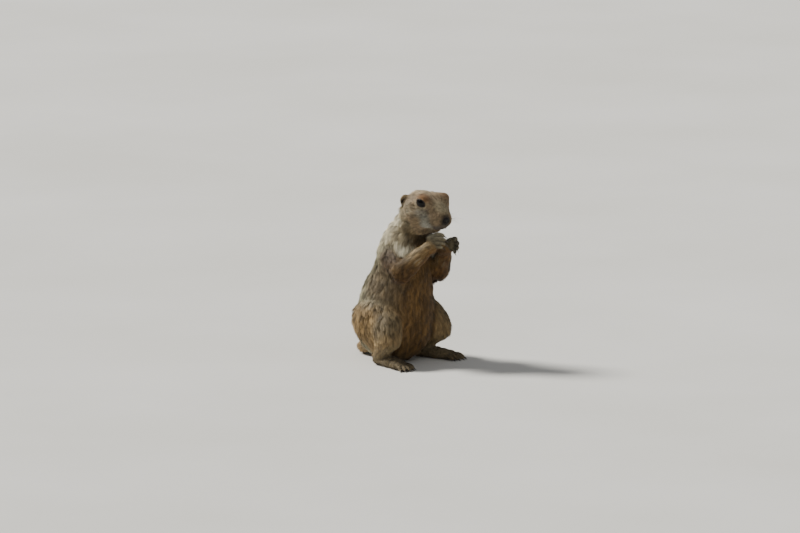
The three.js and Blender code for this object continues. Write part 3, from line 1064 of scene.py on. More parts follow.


# Painted shade on the shoulders, behind the ruff.
SHOULDER_SHADE = Marking((36, -15, 130), (12, 14, 17), (88, 71, 52), 0.85, False)
# The coat's own marks, and painted light and shade where noted.
MARKINGS = [
    Marking((0, -14, 8), (17, 18, 8), (172, 152, 124), 0.8),
    Marking((-14.5, 7.5, 9.4), (8.5, 10, 6.5), (130, 92, 56), 0.72, both_sides=False),
    Marking((13.5, 8.5, 9.2), (6, 8, 5), (150, 118, 88), 0.5, both_sides=False),
    Marking((0, 22, 2), (9, 15, 7), (156, 144, 116), 0.8),
    Marking((20, -2, -8), (8, 14, 9), (124, 110, 86), 0.7),
    Marking((17.5, 13, -6), (8, 9, 8), (116, 111, 97), 0.85),
    Marking((14, 17, -13), (7, 8, 8), (128, 127, 116), 0.8),
    Marking((12, 18.5, -18.5), (7, 9, 6.5), (170, 168, 156), 0.85),
    Marking((0, 20, -26), (9, 12, 4), (150, 140, 120), 0.8),
    # Dark fur round the nose and a dark grey upper lip, their own colour deepened with painted shade on the
    # muzzle's front.
    Marking((0, 35, -10.5), (8.2, 6, 7.4), (38, 31, 27), 0.95),
    Marking((4.5, 29, -18), (9, 9, 6), (72, 66, 62), 0.9),
    Marking((19, -14, -12), (3.5, 4.5, 3.5), (112, 88, 58), 0.6),
    Marking((20, -22, -17), (9, 9, 9), (198, 188, 160), 0.7),
    # Painted shadow under the jaw, on throat and chest.
    Marking((16, -45, 148), (18, 15, 9.5), (68, 55, 35), 0.9, False),
    # The pale nape and back of the neck, their buff made paler as painted light.
    Marking((0, 8, 153), (31, 33, 30), (218, 208, 180), 0.9, False),
    Marking((17, -13, 170), (12, 13, 11), (212, 203, 176), 0.85, False),
    # Painted shade on the lower flanks.
    Marking((33, -8, 97), (20, 30, 29), (98, 80, 58), 0.8, False),
    SHOULDER_SHADE,
    # The cream ruff over the shoulders, brightened further as painted light on its fringe.
    Marking((19.5, -33, 133), (10.5, 12.5, 9), (238, 232, 210), 0.92, False),
    Marking((23, -25, 141), (7, 7, 5.5), (212, 204, 180), 0.65, False),
    Marking((46, -22, 50), (17, 18, 24), (110, 101, 80), 0.7, False),
    # Painted shade on the sides of the neck under the jaw.
    Marking((22, -38, 158), (9, 11, 11), (102, 86, 58), 0.75, False),
    # Darker brown at the elbows, deepened as painted shade.
    Marking((42, -46, 111), (13, 13, 12), (84, 60, 31), 0.85, False),
    Marking((38.5, -34, 119.5), (10, 12, 8), (88, 70, 46), 0.8, False),
]

# Painted shade in the ear's opening.
EAR_HOLE_SHADE = Marking((20.4, -19.6, -4.6), (3.4, 3.6, 3.8), (40, 29, 22), 0.95)

# Where clumps have cream tips, and how many of them
CREAM: Point = (208, 200, 172)
FROST = [
    Marking((0, 12, 150), (32, 36, 36), CREAM, 0.95, False),
    Marking((20, -28, 137), (14, 16, 17), CREAM, 1.0, False),
    Marking((0, 50, 85), (52, 48, 62), CREAM, 0.5, False),
    Marking((26, -44, 118), (12, 18, 12), CREAM, 0.4, False),
    Marking((0, -14, 8), (20, 18, 10), CREAM, 0.4),
    Marking((22, -8, -8), (8, 14, 12), CREAM, 0.5),
    Marking((12, 19, -14), (7, 9, 8), CREAM, 0.4),
]


LONG_RUFF = Marking((19, -26, 140), (15, 17, 16), CREAM, on_head=False)


@dataclass(frozen=True)
class Tints:
    """Colours of the coat that go by the way it faces, or by what lies beside it. Most are painted light and
    shade: painted shade on the chest, under arms and hands, in the ears' cups and between digits, painted
    light on the tops of forearms and hands, and dark lips deepened with painted shade in the mouth's line.
    under_eye, lids and tail_end are the coat's own colours.
    """

    shaded_chest: Point = (106, 80, 45)
    lit_arm_top: Point = (172, 152, 116)
    shaded_arm_underside: Point = (108, 72, 34)
    lit_hand_top: Point = (200, 192, 166)
    shaded_hand_underside: Point = (80, 70, 54)
    under_eye: Point = (164, 152, 126)
    lids: Point = (50, 40, 31)
    ear_cup_shade: Point = (126, 108, 84)
    lips: Point = (20, 15, 13)
    shade_between_digits: Point = (44, 34, 25)
    tail_end: Point = (44, 35, 29)


TINTS = Tints()


@dataclass(frozen=True)
class Mound:
    """A soft rise of the skin, on both sides or one, or a hollow where its height is below 0."""

    at: Point
    radii: Point
    height: float

    def rise(self, points: Array, both_sides: bool = True) -> Array:
        """How far each place rises, in millimetres."""
        where = np.abs(points * [1, 0, 0]) + points * [0, 1, 1] if both_sides else points
        return self.height * ease(1.3, 0.2, far_out(where, self.at, self.radii))


MOUNDS = [
    Mound((8.5, 28, -14.5), (6.5, 8, 6.5), 0.3),
    Mound((17.5, 15, -3), (4.5, 5, 4.5), -0.6),
    Mound((9, 23, 1), (4, 9, 4.5), -0.5),
    Mound((3, 0, 11), (10, 10, 6), 0.8),
    Mound((9.5, 22, -26), (6, 12, 4.5), -1.2),
    Mound((0, 29, -25), (6, 6, 4.5), -1.1),
    Mound((20, -7, 6), (4, 6, 5), -0.6),
    Mound((10, 6, 9.5), (6, 7, 4), 0.5),
]
# The jowls, the ruff over the shoulders, and both wrists, which are fuller on their inner sides
JOWLS = Mound((13, 6, -30), (9, 10, 7), 4.0)
RUFF = Mound((21, -31, 132), (10, 10, 8), 2.5)
WRISTS = [Mound((8.0, -55.5, 134.5), (8.5, 9.5, 11), 6.4), Mound((-13, -61.5, 135), (7, 7, 7.5), 2.0)]


# The skin


@dataclass
class Hide:
    """The finished skin's own arrays, from which the coat grows."""

    thing: Thing
    points: Array
    normals: Array
    edges: Array
    triangles: Array
    maps: Array
    kinds: Array
    mouth: Array
    crease: Array
    on_digit: Array
    digit_way: Array
    colours: Array = field(default_factory=lambda: np.zeros(0))
    lie: Array = field(default_factory=lambda: np.zeros(0))
    growth: dict[str, Array] = field(default_factory=dict)


@dataclass
class Skin:
    """One skin over the whole animal, made from the solids and sunk by the depth of the coat."""

    voxel: float = 0.65
    swell: float = 0.5
    small_swell: float = 0.2
    smoothings: int = 110
    faces: int = 112000
    mouth_depth: float = 1.5
    mouth_width: float = 0.8
    philtrum_depth: float = 0.45
    philtrum_width: float = 0.55
    pad_depth: float = 0.7
    pad_width: float = 2.4
    socket_depth: float = 1.1
    lid_height: float = 0.7
    crease_depth: float = 0.7
    fold_depth: float = 0.7
    fold_apart: float = 11.0
    lip_height: float = 0.35
    lip_width: float = 1.1
    from_lip: float = 2.4
    face_depth: float = 0.75
    nose_depth: float = 1.9
    nose_middle: Point = (0, 32.8, -9.2)
    nose_radii: Point = (5.4, 5.2, 5.2)
    floor_gap: float = 0.4

    def build(self) -> Hide:
        """Builds the skin.

        Returns:
            The skin and its arrays.
        """
        self.tree, self.tree_kinds = self.solids_tree()
        shell = join("skin", self.gather() + self.shape_ears() + self.shape_paws())
        apply_modifier(shell, "REMESH", mode="VOXEL", voxel_size=self.voxel * MM, use_smooth_shade=True)
        log.info("skin remeshed: %d faces", len(shell.data.polygons))
        kinds = self.nearest_kinds(points_of(shell))
        self.smooth(shell, kinds)
        self.carve(shell, kinds)
        self.thin_out(shell, kinds)
        return self.measure(shell)

    def solids_tree(self) -> tuple[BVHTree, Array]:
        """Finds the nearest solid to any place.

        Returns:
            A tree of all the nodes' faces, and the kind of each face.
        """
        corners, faces, kinds = [], [], []
        for name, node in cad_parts.items():
            start = len(corners)
            corners += [v.co.copy() / MM for v in node.data.vertices]
            faces += [[start + v for v in p.vertices] for p in node.data.polygons]
            kinds += [KINDS.index(kind_of(name))] * len(node.data.polygons)
        return BVHTree.FromPolygons(corners, faces), np.array(kinds)

    def nearest_kinds(self, points: Array) -> Array:
        """The kind of the solid nearest to each place."""
        found = [self.tree.find_nearest(Vector(p))[2] for p in points]
        return self.tree_kinds[np.array(found)]

    def gather(self) -> list[Thing]:
        """Copies the nodes of head, trunk, legs and tail, and swells each copy so that the gaps close.

        Returns:
            The swelled copies.
        """
        shells = []
        for name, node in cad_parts.items():
            if kind_of(name) not in BUILT_AFRESH:
                shell = link("skin", node.data.copy())
                on_whole(shell, bpy.ops.mesh.remove_doubles, threshold=1e-6)
                apply_modifier(shell, "DISPLACE", strength=self.swell_of(kind_of(name)) * MM, mid_level=0.0)
                shells.append(shell)
        return shells

    def swell_of(self, kind: str) -> float:
        """How far the skin of a node is swelled before all become one."""
        if kind in BUILT_AFRESH:
            return 0.0
        return self.small_swell if kind in ("eye", "nose") else self.swell

    def shape_ears(self) -> list[Thing]:
        """Models both ears afresh, thin-walled and round, in the place of the solids' ears.

        Returns:
            Both ears.
        """
        made = []
        for side in SIDES.values():
            ear = add("ear", bpy.ops.mesh.primitive_uv_sphere_add, segments=48, ring_count=32, radius=1.0)
            points = unit(points_of(ear)) * np.array(EAR.radii) @ EAR.axes(side) + EAR.place(side, EAR.at)
            place_points(ear, EAR.hollow(points, side))
            made.append(ear)
        return made

    def shape_paws(self) -> list[Thing]:
        """Models hands and feet afresh from round masses, with every finger and toe apart.

        Returns:
            The round masses.
        """
        ball = add("ball", bpy.ops.mesh.primitive_ico_sphere_add, subdivisions=4, radius=1.0)
        shape = unit(points_of(ball))
        made = []
        for part, word in PAW_NAMES:
            for middle, radii in PAWS.masses(part, word):
                mass = link("mass", ball.data.copy())
                place_points(mass, middle + shape * radii)
                made.append(mass)
        bpy.data.objects.remove(ball)
        return made

    def smooth(self, shell: Thing, kinds: Array) -> None:
        """Takes the facets off, most on the body and least on face and paws.

        Args:
            shell: the skin's mesh.
            kinds: the stretch of the body at each vertex.
        """
        edges = edges_of(shell)
        share = np.array([g.smoothing for g in GROWTH.values()])[kinds]
        from_old_mouth = self.from_line(points_of(shell), self.on_skin(shell, SOLIDS_MOUTH))
        share = np.maximum(share, 0.55 * ease(3.6, 1.6, from_old_mouth))
        share = spread(share, edges, 12)
        place_points(shell, spread(points_of(shell), edges, self.smoothings, 0.6 * share))

    def on_skin(self, shell: Thing, line: Sequence[Point]) -> Array:
        """Meets a line of the head from outside, on both sides, through any hand in front of it.

        Args:
            shell: the skin.
            line: places in the head's own directions, on its left side.

        Returns:
            The places on the skin, one a row.
        """
        middle = HEAD.out(0, 12, -12)
        found = []
        for side in SIDES.values():
            for left, forward, up in curve_through(line, 70):
                way = unit(HEAD.out(left * side, forward, up) - middle)
                start = Vector((middle + way * 60) * MM)
                for _ in range(6):
                    hit, at, _, _ = shell.ray_cast(start, Vector(-way))
                    if not hit:
                        break
                    place = np.array(at) / MM
                    if of_kinds(self.nearest_kinds(place[None]), *FACE_KINDS, "neck")[0]:
                        found.append(place)
                        break
                    start = at - Vector(way) * 0.02 * MM
        return np.array(found)

    def carve(self, shell: Thing, kinds: Array) -> None:
        """Cuts mouth and eye sockets into the skin, folds the neck and sinks it all under the coat.

        Args:
            shell: the skin's mesh.
            kinds: the stretch of the body at each vertex.
        """
        points, normals, edges = points_of(shell), normals_of(shell), edges_of(shell)
        head_points = HEAD.inside(points)
        self.mouth_points = self.on_skin(shell, MOUTH_LINE)
        from_mouth = self.from_line(points, self.mouth_points)
        from_philtrum = self.from_line(points, self.on_skin(shell, PHILTRUM))
        from_pad = self.from_line(points, self.on_skin(shell, PAD_EDGE))
        groove = self.mouth_depth * np.exp(-((from_mouth / self.mouth_width) ** 2))
        groove *= 0.45 + 0.55 * ease(0.5, 4, np.abs(head_points[:, 0]))
        groove += self.philtrum_depth * np.exp(-((from_philtrum / self.philtrum_width) ** 2))
        lips = self.lip_height * np.exp(-(((from_mouth - self.from_lip) / self.lip_width) ** 2))

        depth = np.array([g.depth + self.swell_of(kind) for kind, g in GROWTH.items()])[kinds]
        depth = spread(depth, edges, 40)
        for side in SIDES.values():
            share, out = EYE.share(points, side)
            around = np.where(out > 0, ease(2.6, 1.25, share), 0)
            depth = depth * (1 - around) + self.face_depth * around
        nose = ease(1.5, 1.0, far_out(head_points, self.nose_middle, self.nose_radii))
        depth = depth * (1 - nose) + self.nose_depth * nose
        depth = depth * (1 - 0.6 * ease(3.0, 1.0, from_mouth))

        along_neck = points @ unit(np.array([0, -0.36, 1.0]))
        neck = ease(146, 156, along_neck) * ease(184, 174, along_neck) * of_kinds(kinds, "neck")
        wave = along_neck * 2 * math.pi / self.fold_apart + ripple(points, 50, 3)
        folds = self.fold_depth * neck * np.sin(wave)
        creases = self.crease_depth * PAWS.near_digits(points, kinds)[0]
        face = ease(2.0, 6.0, from_mouth) * self.pad_depth * np.exp(-((from_pad / self.pad_width) ** 2))
        face -= sum(mound.rise(head_points) for mound in MOUNDS)
        face *= of_kinds(kinds, *FACE_KINDS)
        face -= JOWLS.rise(head_points) + RUFF.rise(points)
        face -= sum(mound.rise(points, both_sides=False) for mound in WRISTS)
        points = points - (depth + groove - lips + folds + creases + face)[:, None] * normals

        for side in SIDES.values():
            share, out = EYE.share(points, side)
            offset = points - EYE.centre(side)
            far = np.linalg.norm(offset, axis=1)
            sunk = EYE.radius - self.socket_depth * ease(1.02, 0.85, share)
            lid = np.where(share < 2.0, EYE.radius + self.lid_height * ease(2.0, 1.2, share), 0)
            wanted = np.where(share < 1.02, np.minimum(far, sunk), np.maximum(far, lid))
            here = (out > 0) & (far < EYE.radius + 4)
            points[here] = EYE.centre(side) + offset[here] * (wanted / far)[here, None]
        points[:, 2] = np.maximum(points[:, 2], self.floor_gap)
        place_points(shell, points)

    def thin_out(self, shell: Thing, kinds: Array) -> None:
        """Leaves fewer faces on the smooth body than on face and paws.

        Args:
            shell: the skin's mesh.
            kinds: the stretch of the body at each vertex.
        """
        plain = np.array([0.1 if g.smoothing < 0.2 else 1.0 for g in GROWTH.values()])[kinds]
        head_points = HEAD.inside(points_of(shell))
        head = of_kinds(kinds, "head")
        plain = np.where(head, 0.8 - 0.6 * ease(-8, 8, head_points[:, 1]), plain)
        group = shell.vertex_groups.new(name="plain")
        for level in np.unique(np.round(plain, 1)):
            group.add(np.flatnonzero(np.round(plain, 1) == level).tolist(), float(level), "REPLACE")
        quads = len(shell.data.polygons)
        apply_modifier(
            shell,
            "DECIMATE",
            ratio=min(1.0, self.faces / (2 * quads)),
            vertex_group="plain",
            vertex_group_factor=1.0,
            use_collapse_triangulate=True,
        )
        shell.vertex_groups.clear()
        log.info("skin thinned: %d faces", len(shell.data.polygons))

    def measure(self, shell: Thing) -> Hide:
        """Unwraps the skin and reads its arrays.

        Args:
            shell: the skin's mesh.

        Returns:
            The skin with its arrays.
        """
        on_whole(shell, bpy.ops.uv.smart_project, angle_limit=math.radians(66), island_margin=0.002)
        data = shell.data
        data.uv_layers.active.name = "OFBake"
        data.shade_smooth()
        points = points_of(shell)
        kinds = self.nearest_kinds(points)
        crease, on_digit, digit_way = PAWS.near_digits(points, kinds)
        return Hide(
            thing=shell,
            points=points,
            normals=normals_of(shell),
            edges=edges_of(shell),
            triangles=read(data.loops, "vertex_index", 1, np.int32).reshape(-1, 3),
            maps=read(data.uv_layers["OFBake"].data, "uv", 2).reshape(-1, 3, 2),
            kinds=kinds,
            mouth=self.from_line(points, self.mouth_points),
            crease=crease,
            on_digit=on_digit,
            digit_way=digit_way,
        )

    def from_line(self, points: Array, line: Array) -> Array:
        """How far places on the face lie from the places of a line.

        Args:
            points: places in millimetres.
            line: the line's own places.

        Returns:
            A distance for each place, 99 away from the face.
        """
        head_points = HEAD.inside(points)
        near = (head_points[:, 1] > 5) & (head_points[:, 2] < 4) & (np.abs(head_points[:, 0]) < 22)
        far = np.full(len(points), 99.0)
        far[near] = np.linalg.norm(points[near][:, None] - line[None], axis=2).min(1)
        return far


# The coat


@dataclass
class Coat:
    """Tufts over the whole skin, in pieces, with the markings that skin and tufts share."""

    seed: int = 11
    patch: float = 0.003
    blade_cover: float = 0.6
    blade_waist: float = 0.85
    floor_gap: float = 0.25
    cup_length: float = 1.1
    nose_middle: Point = (0, 33.2, -9.2)
    nose_radii: Point = (4.7, 4.6, 4.4)
    clump_contrast: float = 0.15
    streak_contrast: float = 0.3
    tuft_contrast: float = 0.11
    odd_share: float = 0.14
    pieces: dict[str, tuple[Slot, tuple[str, ...]]] = field(
        default_factory=lambda: {
            "coat_face": (Slot.BACK, FACE_KINDS),
            "coat_head": (Slot.BACK, FACE_KINDS),
            "coat_ears": (Slot.EAR, ("ear",)),
            "coat_neck": (Slot.BACK, ("neck",)),
            "coat_back": (Slot.BACK, ("torso",)),
            "coat_belly": (Slot.BELLY, ("torso",)),
            "coat_arms": (Slot.LIMB, ("upper_arm", "forearm")),
            "coat_hands": (Slot.PAW, ("hand",)),
            "coat_haunches": (Slot.LIMB, ("thigh", "shank")),
            "coat_feet": (Slot.PAW, ("foot",)),
            "coat_tail": (Slot.BACK, ("tail_root", "tail_middle")),
            "coat_tail_brush": (Slot.TAIL_TIP, ("tail_brush",)),
        }
    )

    def lay(self, hide: Hide) -> None:
        """Works out the coat's growth, lie and colour at every point of the skin.

        Args:
            hide: the skin.
        """
        hide.growth = self.grow(hide)
        hide.lie = self.flow(hide)
        hide.colours = self.mark(hide)

    def grow(self, hide: Hide) -> dict[str, Array]:
        """The coat's length, width, lift, cover, clumps and cream tips at every point of the skin.

        Args:
            hide: the skin.

        Returns:
            One array for each of them.
        """
        names = ("length", "width", "lift", "cover", "apart", "gather")
        table = np.array([[getattr(g, name) for name in names] for g in GROWTH.values()])
        evened = spread(table[hide.kinds], hide.edges, 30)
        evened[of_kinds(hide.kinds, "ear")] = table[KINDS.index("ear")]
        growth = dict(zip(names, evened.T))
        head = HEAD.inside(hide.points)
        on_head = of_kinds(hide.kinds, *FACE_KINDS)
        ruff = LONG_RUFF.weigh(hide.points, head)
        growth["length"] *= 1 + 0.5 * ease(6, -14, head[:, 1]) * on_head + 0.45 * ruff
        growth["lift"] += 9 * ruff
        growth["length"] *= 1 + 0.15 * sum(mound.rise(hide.points, both_sides=False) for mound in WRISTS)
        muzzle = ease(4, 26, head[:, 1]) * on_head
        growth["length"] *= 1 - 0.56 * muzzle
        growth["width"] *= 1 - 0.3 * muzzle
        growth["apart"] *= 1 - 0.4 * muzzle
        bare = np.zeros(len(hide.points))
        for side in SIDES.values():
            share, out = EYE.share(hide.points, side)
            facing = (out > 0) & on_head
            growth["length"] *= np.where(facing, 1 - 0.55 * ease(2.6, 1.2, share), 1)
            bare = np.maximum(bare, np.where(facing & (share < 1.1), 1, 0))
        nose = far_out(head, self.nose_middle, self.nose_radii)
        growth["length"] *= 1 - 0.5 * ease(1.8, 1.0, nose)
        bare = np.maximum(bare, nose < 1.0)
        bare = np.maximum(bare, ease(1.5, 0.9, hide.mouth))
        growth["length"] *= 1 - 0.35 * ease(6, 2, hide.mouth)
        growth["length"] *= 1 - 0.35 * hide.on_digit
        growth["lift"] += 9 * ease(4.2, 1.6, growth["length"])
        in_cup = EAR.in_either_cup(hide.points) < 1.12
        growth["length"] = np.where(in_cup, self.cup_length, growth["length"])
        growth["cover"] *= np.where(in_cup, 0.5, 1)
        growth["frost"] = self.frost(hide, head, on_head)
        sole = (hide.points[:, 2] < 1.2) & (hide.normals[:, 2] < -0.5)
        growth["cover"] = growth["cover"] * (1 - bare) * (1 - 0.9 * sole)
        return growth

    def frost(self, hide: Hide, head: Array, on_head: Array) -> Array:
        """The share of clumps with cream tips at every point of the skin.

        Args:
            hide: the skin.
            head: the skin's points in the head's frame.
            on_head: which points are on the head.

        Returns:
            A share for each point.
        """
        total = np.zeros(len(hide.points))
        for mark in FROST:
            where = on_head if mark.on_head else ~on_head
            total = np.maximum(total, mark.weigh(hide.points, head) * where)
        # Fewer cream tips in the painted shade on the shoulders.
        return total * (1 - SHOULDER_SHADE.weigh(hide.points, head) * ~on_head)

    def flow(self, hide: Hide) -> Array:
        """The way the coat lies at every point of the skin, along the surface.

        Args:
            hide: the skin.

        Returns:
            A direction for each point.
        """
        left, ahead, above = HEAD.axes
        lie = np.zeros_like(hide.points)
        tail = curve_through(TAIL_PATH, 60)
        steps = np.vstack([np.diff(tail, axis=0), tail[-1] - tail[-2]])
        for index, kind in enumerate(KINDS):
            here = hide.kinds == index
            points = hide.points[here]
            side = np.sign(points[:, :1])
            ones = np.ones_like(side)
            if kind in FACE_KINDS:
                nape = ease(-6, -20, HEAD.inside(points)[:, 1])[:, None]
                from_nose = unit(points - HEAD.out(0, 33, -5))
                way = from_nose + 0.35 * unit(-ahead) + 0.9 * nape * np.array([0, 0.3, -1.0])
            elif kind == "neck":
                way = np.array([0, 0.3, -1.0]) * ones
            elif kind == "torso":
                way = np.hstack([0.1 * side, 0.12 * ones, -ones])
            elif kind == "ear":
                way = side * left * 0.5 + above - ahead * 0.3
            elif kind.startswith("tail"):
                nearest = np.linalg.norm(points[:, None] - tail[None], axis=2).argmin(1)
                way = steps[nearest]
            elif kind in ("foot", "hand"):
                way = np.hstack([(0.25 if kind == "foot" else 0.0) * side, -ones, 0 * side])
                on_digit = hide.on_digit[here][:, None]
                way = way * (1 - on_digit) + hide.digit_way[here] * on_digit
            else:
                start, end = (np.array(at, float) for at in LIMB_LINES[kind])
                way = (end - start) * np.hstack([side, ones, ones])
            lie[here] = unit(way)
        for side in SIDES.values():
            share, out = EYE.share(hide.points, side)
            away = along_surface(unit(hide.points - EYE.centre(side)), hide.normals)
            near = np.where(out > 0, ease(2.2, 1.3, share), 0)
            across = np.minimum(rows_dot(lie, away), 0.0)
            lie = unit(lie - (near * across)[:, None] * away + (0.25 * near)[:, None] * away)
        for _ in range(8):
            lie = along_surface(spread(lie, hide.edges, 6), hide.normals)
        return lie

    def mark(self, hide: Hide) -> Array:
        """The coat's colour at every point of the skin, with painted light and shade laid into it.

        Args:
            hide: the skin.

        Returns:
            A linear colour for each point.
        """
        points, normals, kinds = hide.points, hide.normals, hide.kinds
        head_points = HEAD.inside(points)
        base = np.array([linear(g.colour) for g in GROWTH.values()])[kinds]
        on_head = of_kinds(kinds, *FACE_KINDS, "ear")
        trunk = of_kinds(kinds, "torso", "neck")
        arms = of_kinds(kinds, "upper_arm", "forearm")
        body = trunk | arms | of_kinds(kinds, "thigh", "shank")
        forearms, hands = of_kinds(kinds, "forearm"), of_kinds(kinds, "hand")
        facing_up, below = normals[:, 2], ease(0.0, -0.8, normals[:, 2])
        # Tawny chest and belly, darkened as painted shade where the trunk faces forward.
        blend(base, trunk * ease(0.25, -0.65, normals[:, 1] + 0.35 * np.abs(normals[:, 0])), TINTS.shaded_chest)
        # Painted light on the tops of forearms and hands, and painted shade on the undersides of arms and
        # hands.
        blend(base, 0.8 * (forearms * ease(0.1, 0.85, facing_up)), TINTS.lit_arm_top)
        blend(base, 0.8 * (arms * below), TINTS.shaded_arm_underside)
        blend(base, 0.75 * hands * ease(0.2, 0.9, facing_up), TINTS.lit_hand_top)
        blend(base, 0.6 * hands * below, TINTS.shaded_hand_underside)
        base = spread(base, hide.edges, 16)
        for marking in MARKINGS:
            here = on_head if marking.on_head else body
            blend(base, marking.weigh(points, head_points) * here, marking.colour)
        for side in SIDES.values():
            share, out = EYE.share(points, side)
            near = ease(3.4, 1.5, np.linalg.norm(points - EYE.centre(side), axis=1) - EYE.radius)
            ring = near * (on_head & (out > 0))
            low = ease(2, -2, head_points[:, 2] - EYE.up)
            blend(base, ring * ease(2.3, 1.6, share) * 0.45 * low, TINTS.under_eye)
            blend(base, ring * ease(1.3, 1.08, share), TINTS.lids)
        # Painted shade in the ears' cups and their openings.
        blend(base, 0.7 * ease(1.3, 1.06, EAR.in_either_cup(points)), TINTS.ear_cup_shade)
        blend(base, EAR_HOLE_SHADE.weigh(points, head_points) * on_head, EAR_HOLE_SHADE.colour)
        # Dark lips, deepened to near black as painted shade in the mouth's line.
        blend(base, 0.95 * ease(2.0, 0.9, hide.mouth), TINTS.lips)
        # Painted shade in the creases between fingers and toes.
        blend(base, 0.75 * hide.crease, TINTS.shade_between_digits)
        on_tail = of_kinds(kinds, "tail_root", "tail_middle", "tail_brush")
        blend(base, 0.9 * (ease(40, 62, points[:, 0]) * on_tail), TINTS.tail_end)
        return base * (1 + 0.07 * ripple(points, 26, 5) + 0.05 * ripple(points, 9, 6))[:, None]

    def density(self, growth: dict[str, Array]) -> Array:
        """How many tufts grow on each square millimetre."""
        return growth["cover"] / (growth["length"] * growth["width"] * self.blade_cover)

    def roots(self, hide: Hide, rng: np.random.Generator) -> dict[str, Array]:
        """Scatters the tufts' roots over the skin.

        Args:
            hide: the skin.
            rng: the source of chance.

        Returns:
            The skin's own values at each root.
        """
        corners = hide.points[hide.triangles]
        first, second = corners[:, 1] - corners[:, 0], corners[:, 2] - corners[:, 0]
        area = np.linalg.norm(np.cross(first, second), axis=1) / 2
        weight = area * self.density(hide.growth)[hide.triangles].mean(1)
        total = np.cumsum(weight)
        chosen = np.searchsorted(total, np.sort(rng.uniform(0, total[-1], int(total[-1]))))
        shares = rng.dirichlet((1, 1, 1), len(chosen))
        vertices = hide.triangles[chosen]

        def at(values: Array) -> Array:
            """A value of the skin at each root."""
            return np.einsum("ij,ij...->i...", shares, values[vertices])

        made = {name: at(values) for name, values in hide.growth.items()}
        made |= {"at": at(hide.points), "normal": unit(at(hide.normals)), "colour": at(hide.colours)}
        made["lie"] = unit(at(hide.lie))
        made["map"] = np.einsum("ij,ijk->ik", shares, hide.maps[chosen])
        made["kind"] = hide.kinds[vertices[np.arange(len(chosen)), shares.argmax(1)]]
        return made

    def bend(self, roots: dict[str, Array], rng: np.random.Generator) -> dict[str, Array]:
        """Gives every tuft its middle and its tip, and gathers tips into clumps.

        Args:
            roots: the tufts' roots.
            rng: the source of chance.

        Returns:
            The roots with the places of each tuft added.
        """
        at, normal, lie = roots["at"], roots["normal"], roots["lie"]
        count = len(at)
        swirl = 0.2 * ripple(at, 34, 21) + 0.14 * ripple(at, 11, 22) + rng.normal(0, 0.13, count)
        lie = unit(turned(lie, np.cross(normal, lie), swirl))
        length = roots["length"] * rng.uniform(0.7, 1.18, count) * (1 + 0.12 * ripple(at, 17, 23))
        lift = np.radians(roots["lift"]) * rng.uniform(0.45, 1.5, count) * (1 + 0.25 * ripple(at, 13, 24))

        def step(angle: Array, share: float) -> Array:
            """One stretch of the tuft, rising at an angle."""
            return (length * share)[:, None] * turned(lie, normal, angle)

        start = at - (0.05 * length).clip(0.05, 0.35)[:, None] * normal
        middle = start + step(1.5 * lift, 0.5)
        tip = middle + step(0.45 * lift, 0.5)
        order = rng.permutation(count)
        in_clump = self.density(roots)[order] * roots["apart"][order] ** 2
        heads = order[rng.uniform(size=count) < 1 / np.maximum(in_clump, 1)]
        tree = KDTree(len(heads))
        for i, place in enumerate(at[heads]):
            tree.insert(place, i)
        tree.balance()
        clump = np.array([tree.find(place)[1] for place in at])
        head = heads[clump]
        gather = (roots["gather"] * rng.uniform(0.5, 1.3, count))[:, None]
        tip += gather * (tip[head] - tip)
        middle += 0.4 * gather * (middle[head] - middle)
        across = unit(np.cross(lie, normal))
        across = turned(across, normal, rng.uniform(-0.6, 0.6, count))
        return roots | {"start": start, "middle": middle, "tip": tip, "across": across, "clump": clump}

    def tint(self, tufts: dict[str, Array], rng: np.random.Generator) -> Array:
        """Colours the tufts.

        Args:
            tufts: the tufts.
            rng: the source of chance.

        Returns:
            The linear colours of each tuft at its root, its middle and its tip.
        """
        count = len(tufts["at"])
        of_clumps = rng.normal(0, self.clump_contrast, tufts["clump"].max() + 1).clip(-0.28, 0.36)
        clump_light = of_clumps[tufts["clump"]]
        drawn_out = tufts["at"] - 0.72 * rows_dot(tufts["at"], tufts["lie"])[:, None] * tufts["lie"]
        streak, other_streak = ripple(drawn_out, 6.5, 31), ripple(drawn_out, 5.0, 32)
        streaks = self.streak_contrast * ease(1.6, 5, tufts["length"]) * other_streak
        light = (1 + clump_light + streaks + rng.normal(0, self.tuft_contrast, count)).clip(0.4, 1.8)
        colour = tufts["colour"] * light[:, None]
        pick = rng.uniform(size=count)[:, None]
        odd = self.odd_share * (0.7 + 0.3 * ease(2.5, 5, tufts["length"])[:, None])
        pale, dark = pick < odd, pick > 1 - odd
        tip = np.where(pale, colour * 1.15 + 0.1, colour * 1.2)
        tip = np.where(dark, colour * 0.45, tip)
        frosted = ease(-0.3, 0.6, streak - 1.1 + 1.6 * tufts["frost"]) * ease(0.05, 0.3, tufts["frost"])
        cream = (frosted * rng.uniform(0.4, 0.95, count))[:, None]
        tip = tip + cream * (linear(CREAM) * (1 + clump_light[:, None]) - tip)
        middle = colour * 0.95 + 0.3 * cream * (linear(CREAM) - colour)
        root = colour * (0.74 - 0.26 * ease(2, 5, tufts["length"])[:, None])
        return np.stack([root, middle, tip], 1)

    def piece_of(self, tufts: dict[str, Array]) -> Array:
        """Which piece each tuft goes to, as its place in the list of pieces.

        Args:
            tufts: the tufts.

        Returns:
            The place of each tuft's piece in the list of pieces.
        """
        names = list(self.pieces)
        chosen = np.zeros(len(tufts["at"]), int)
        for index, (_, kinds) in enumerate(self.pieces.values()):
            chosen[of_kinds(tufts["kind"], *kinds)] = index
        head = HEAD.inside(tufts["at"])
        on_head = chosen == names.index("coat_head")
        chosen[on_head & (head[:, 1] > 9)] = names.index("coat_face")
        torso = chosen == names.index("coat_belly")
        chosen[torso & (tufts["normal"][:, 1] > -0.1)] = names.index("coat_back")
        return chosen

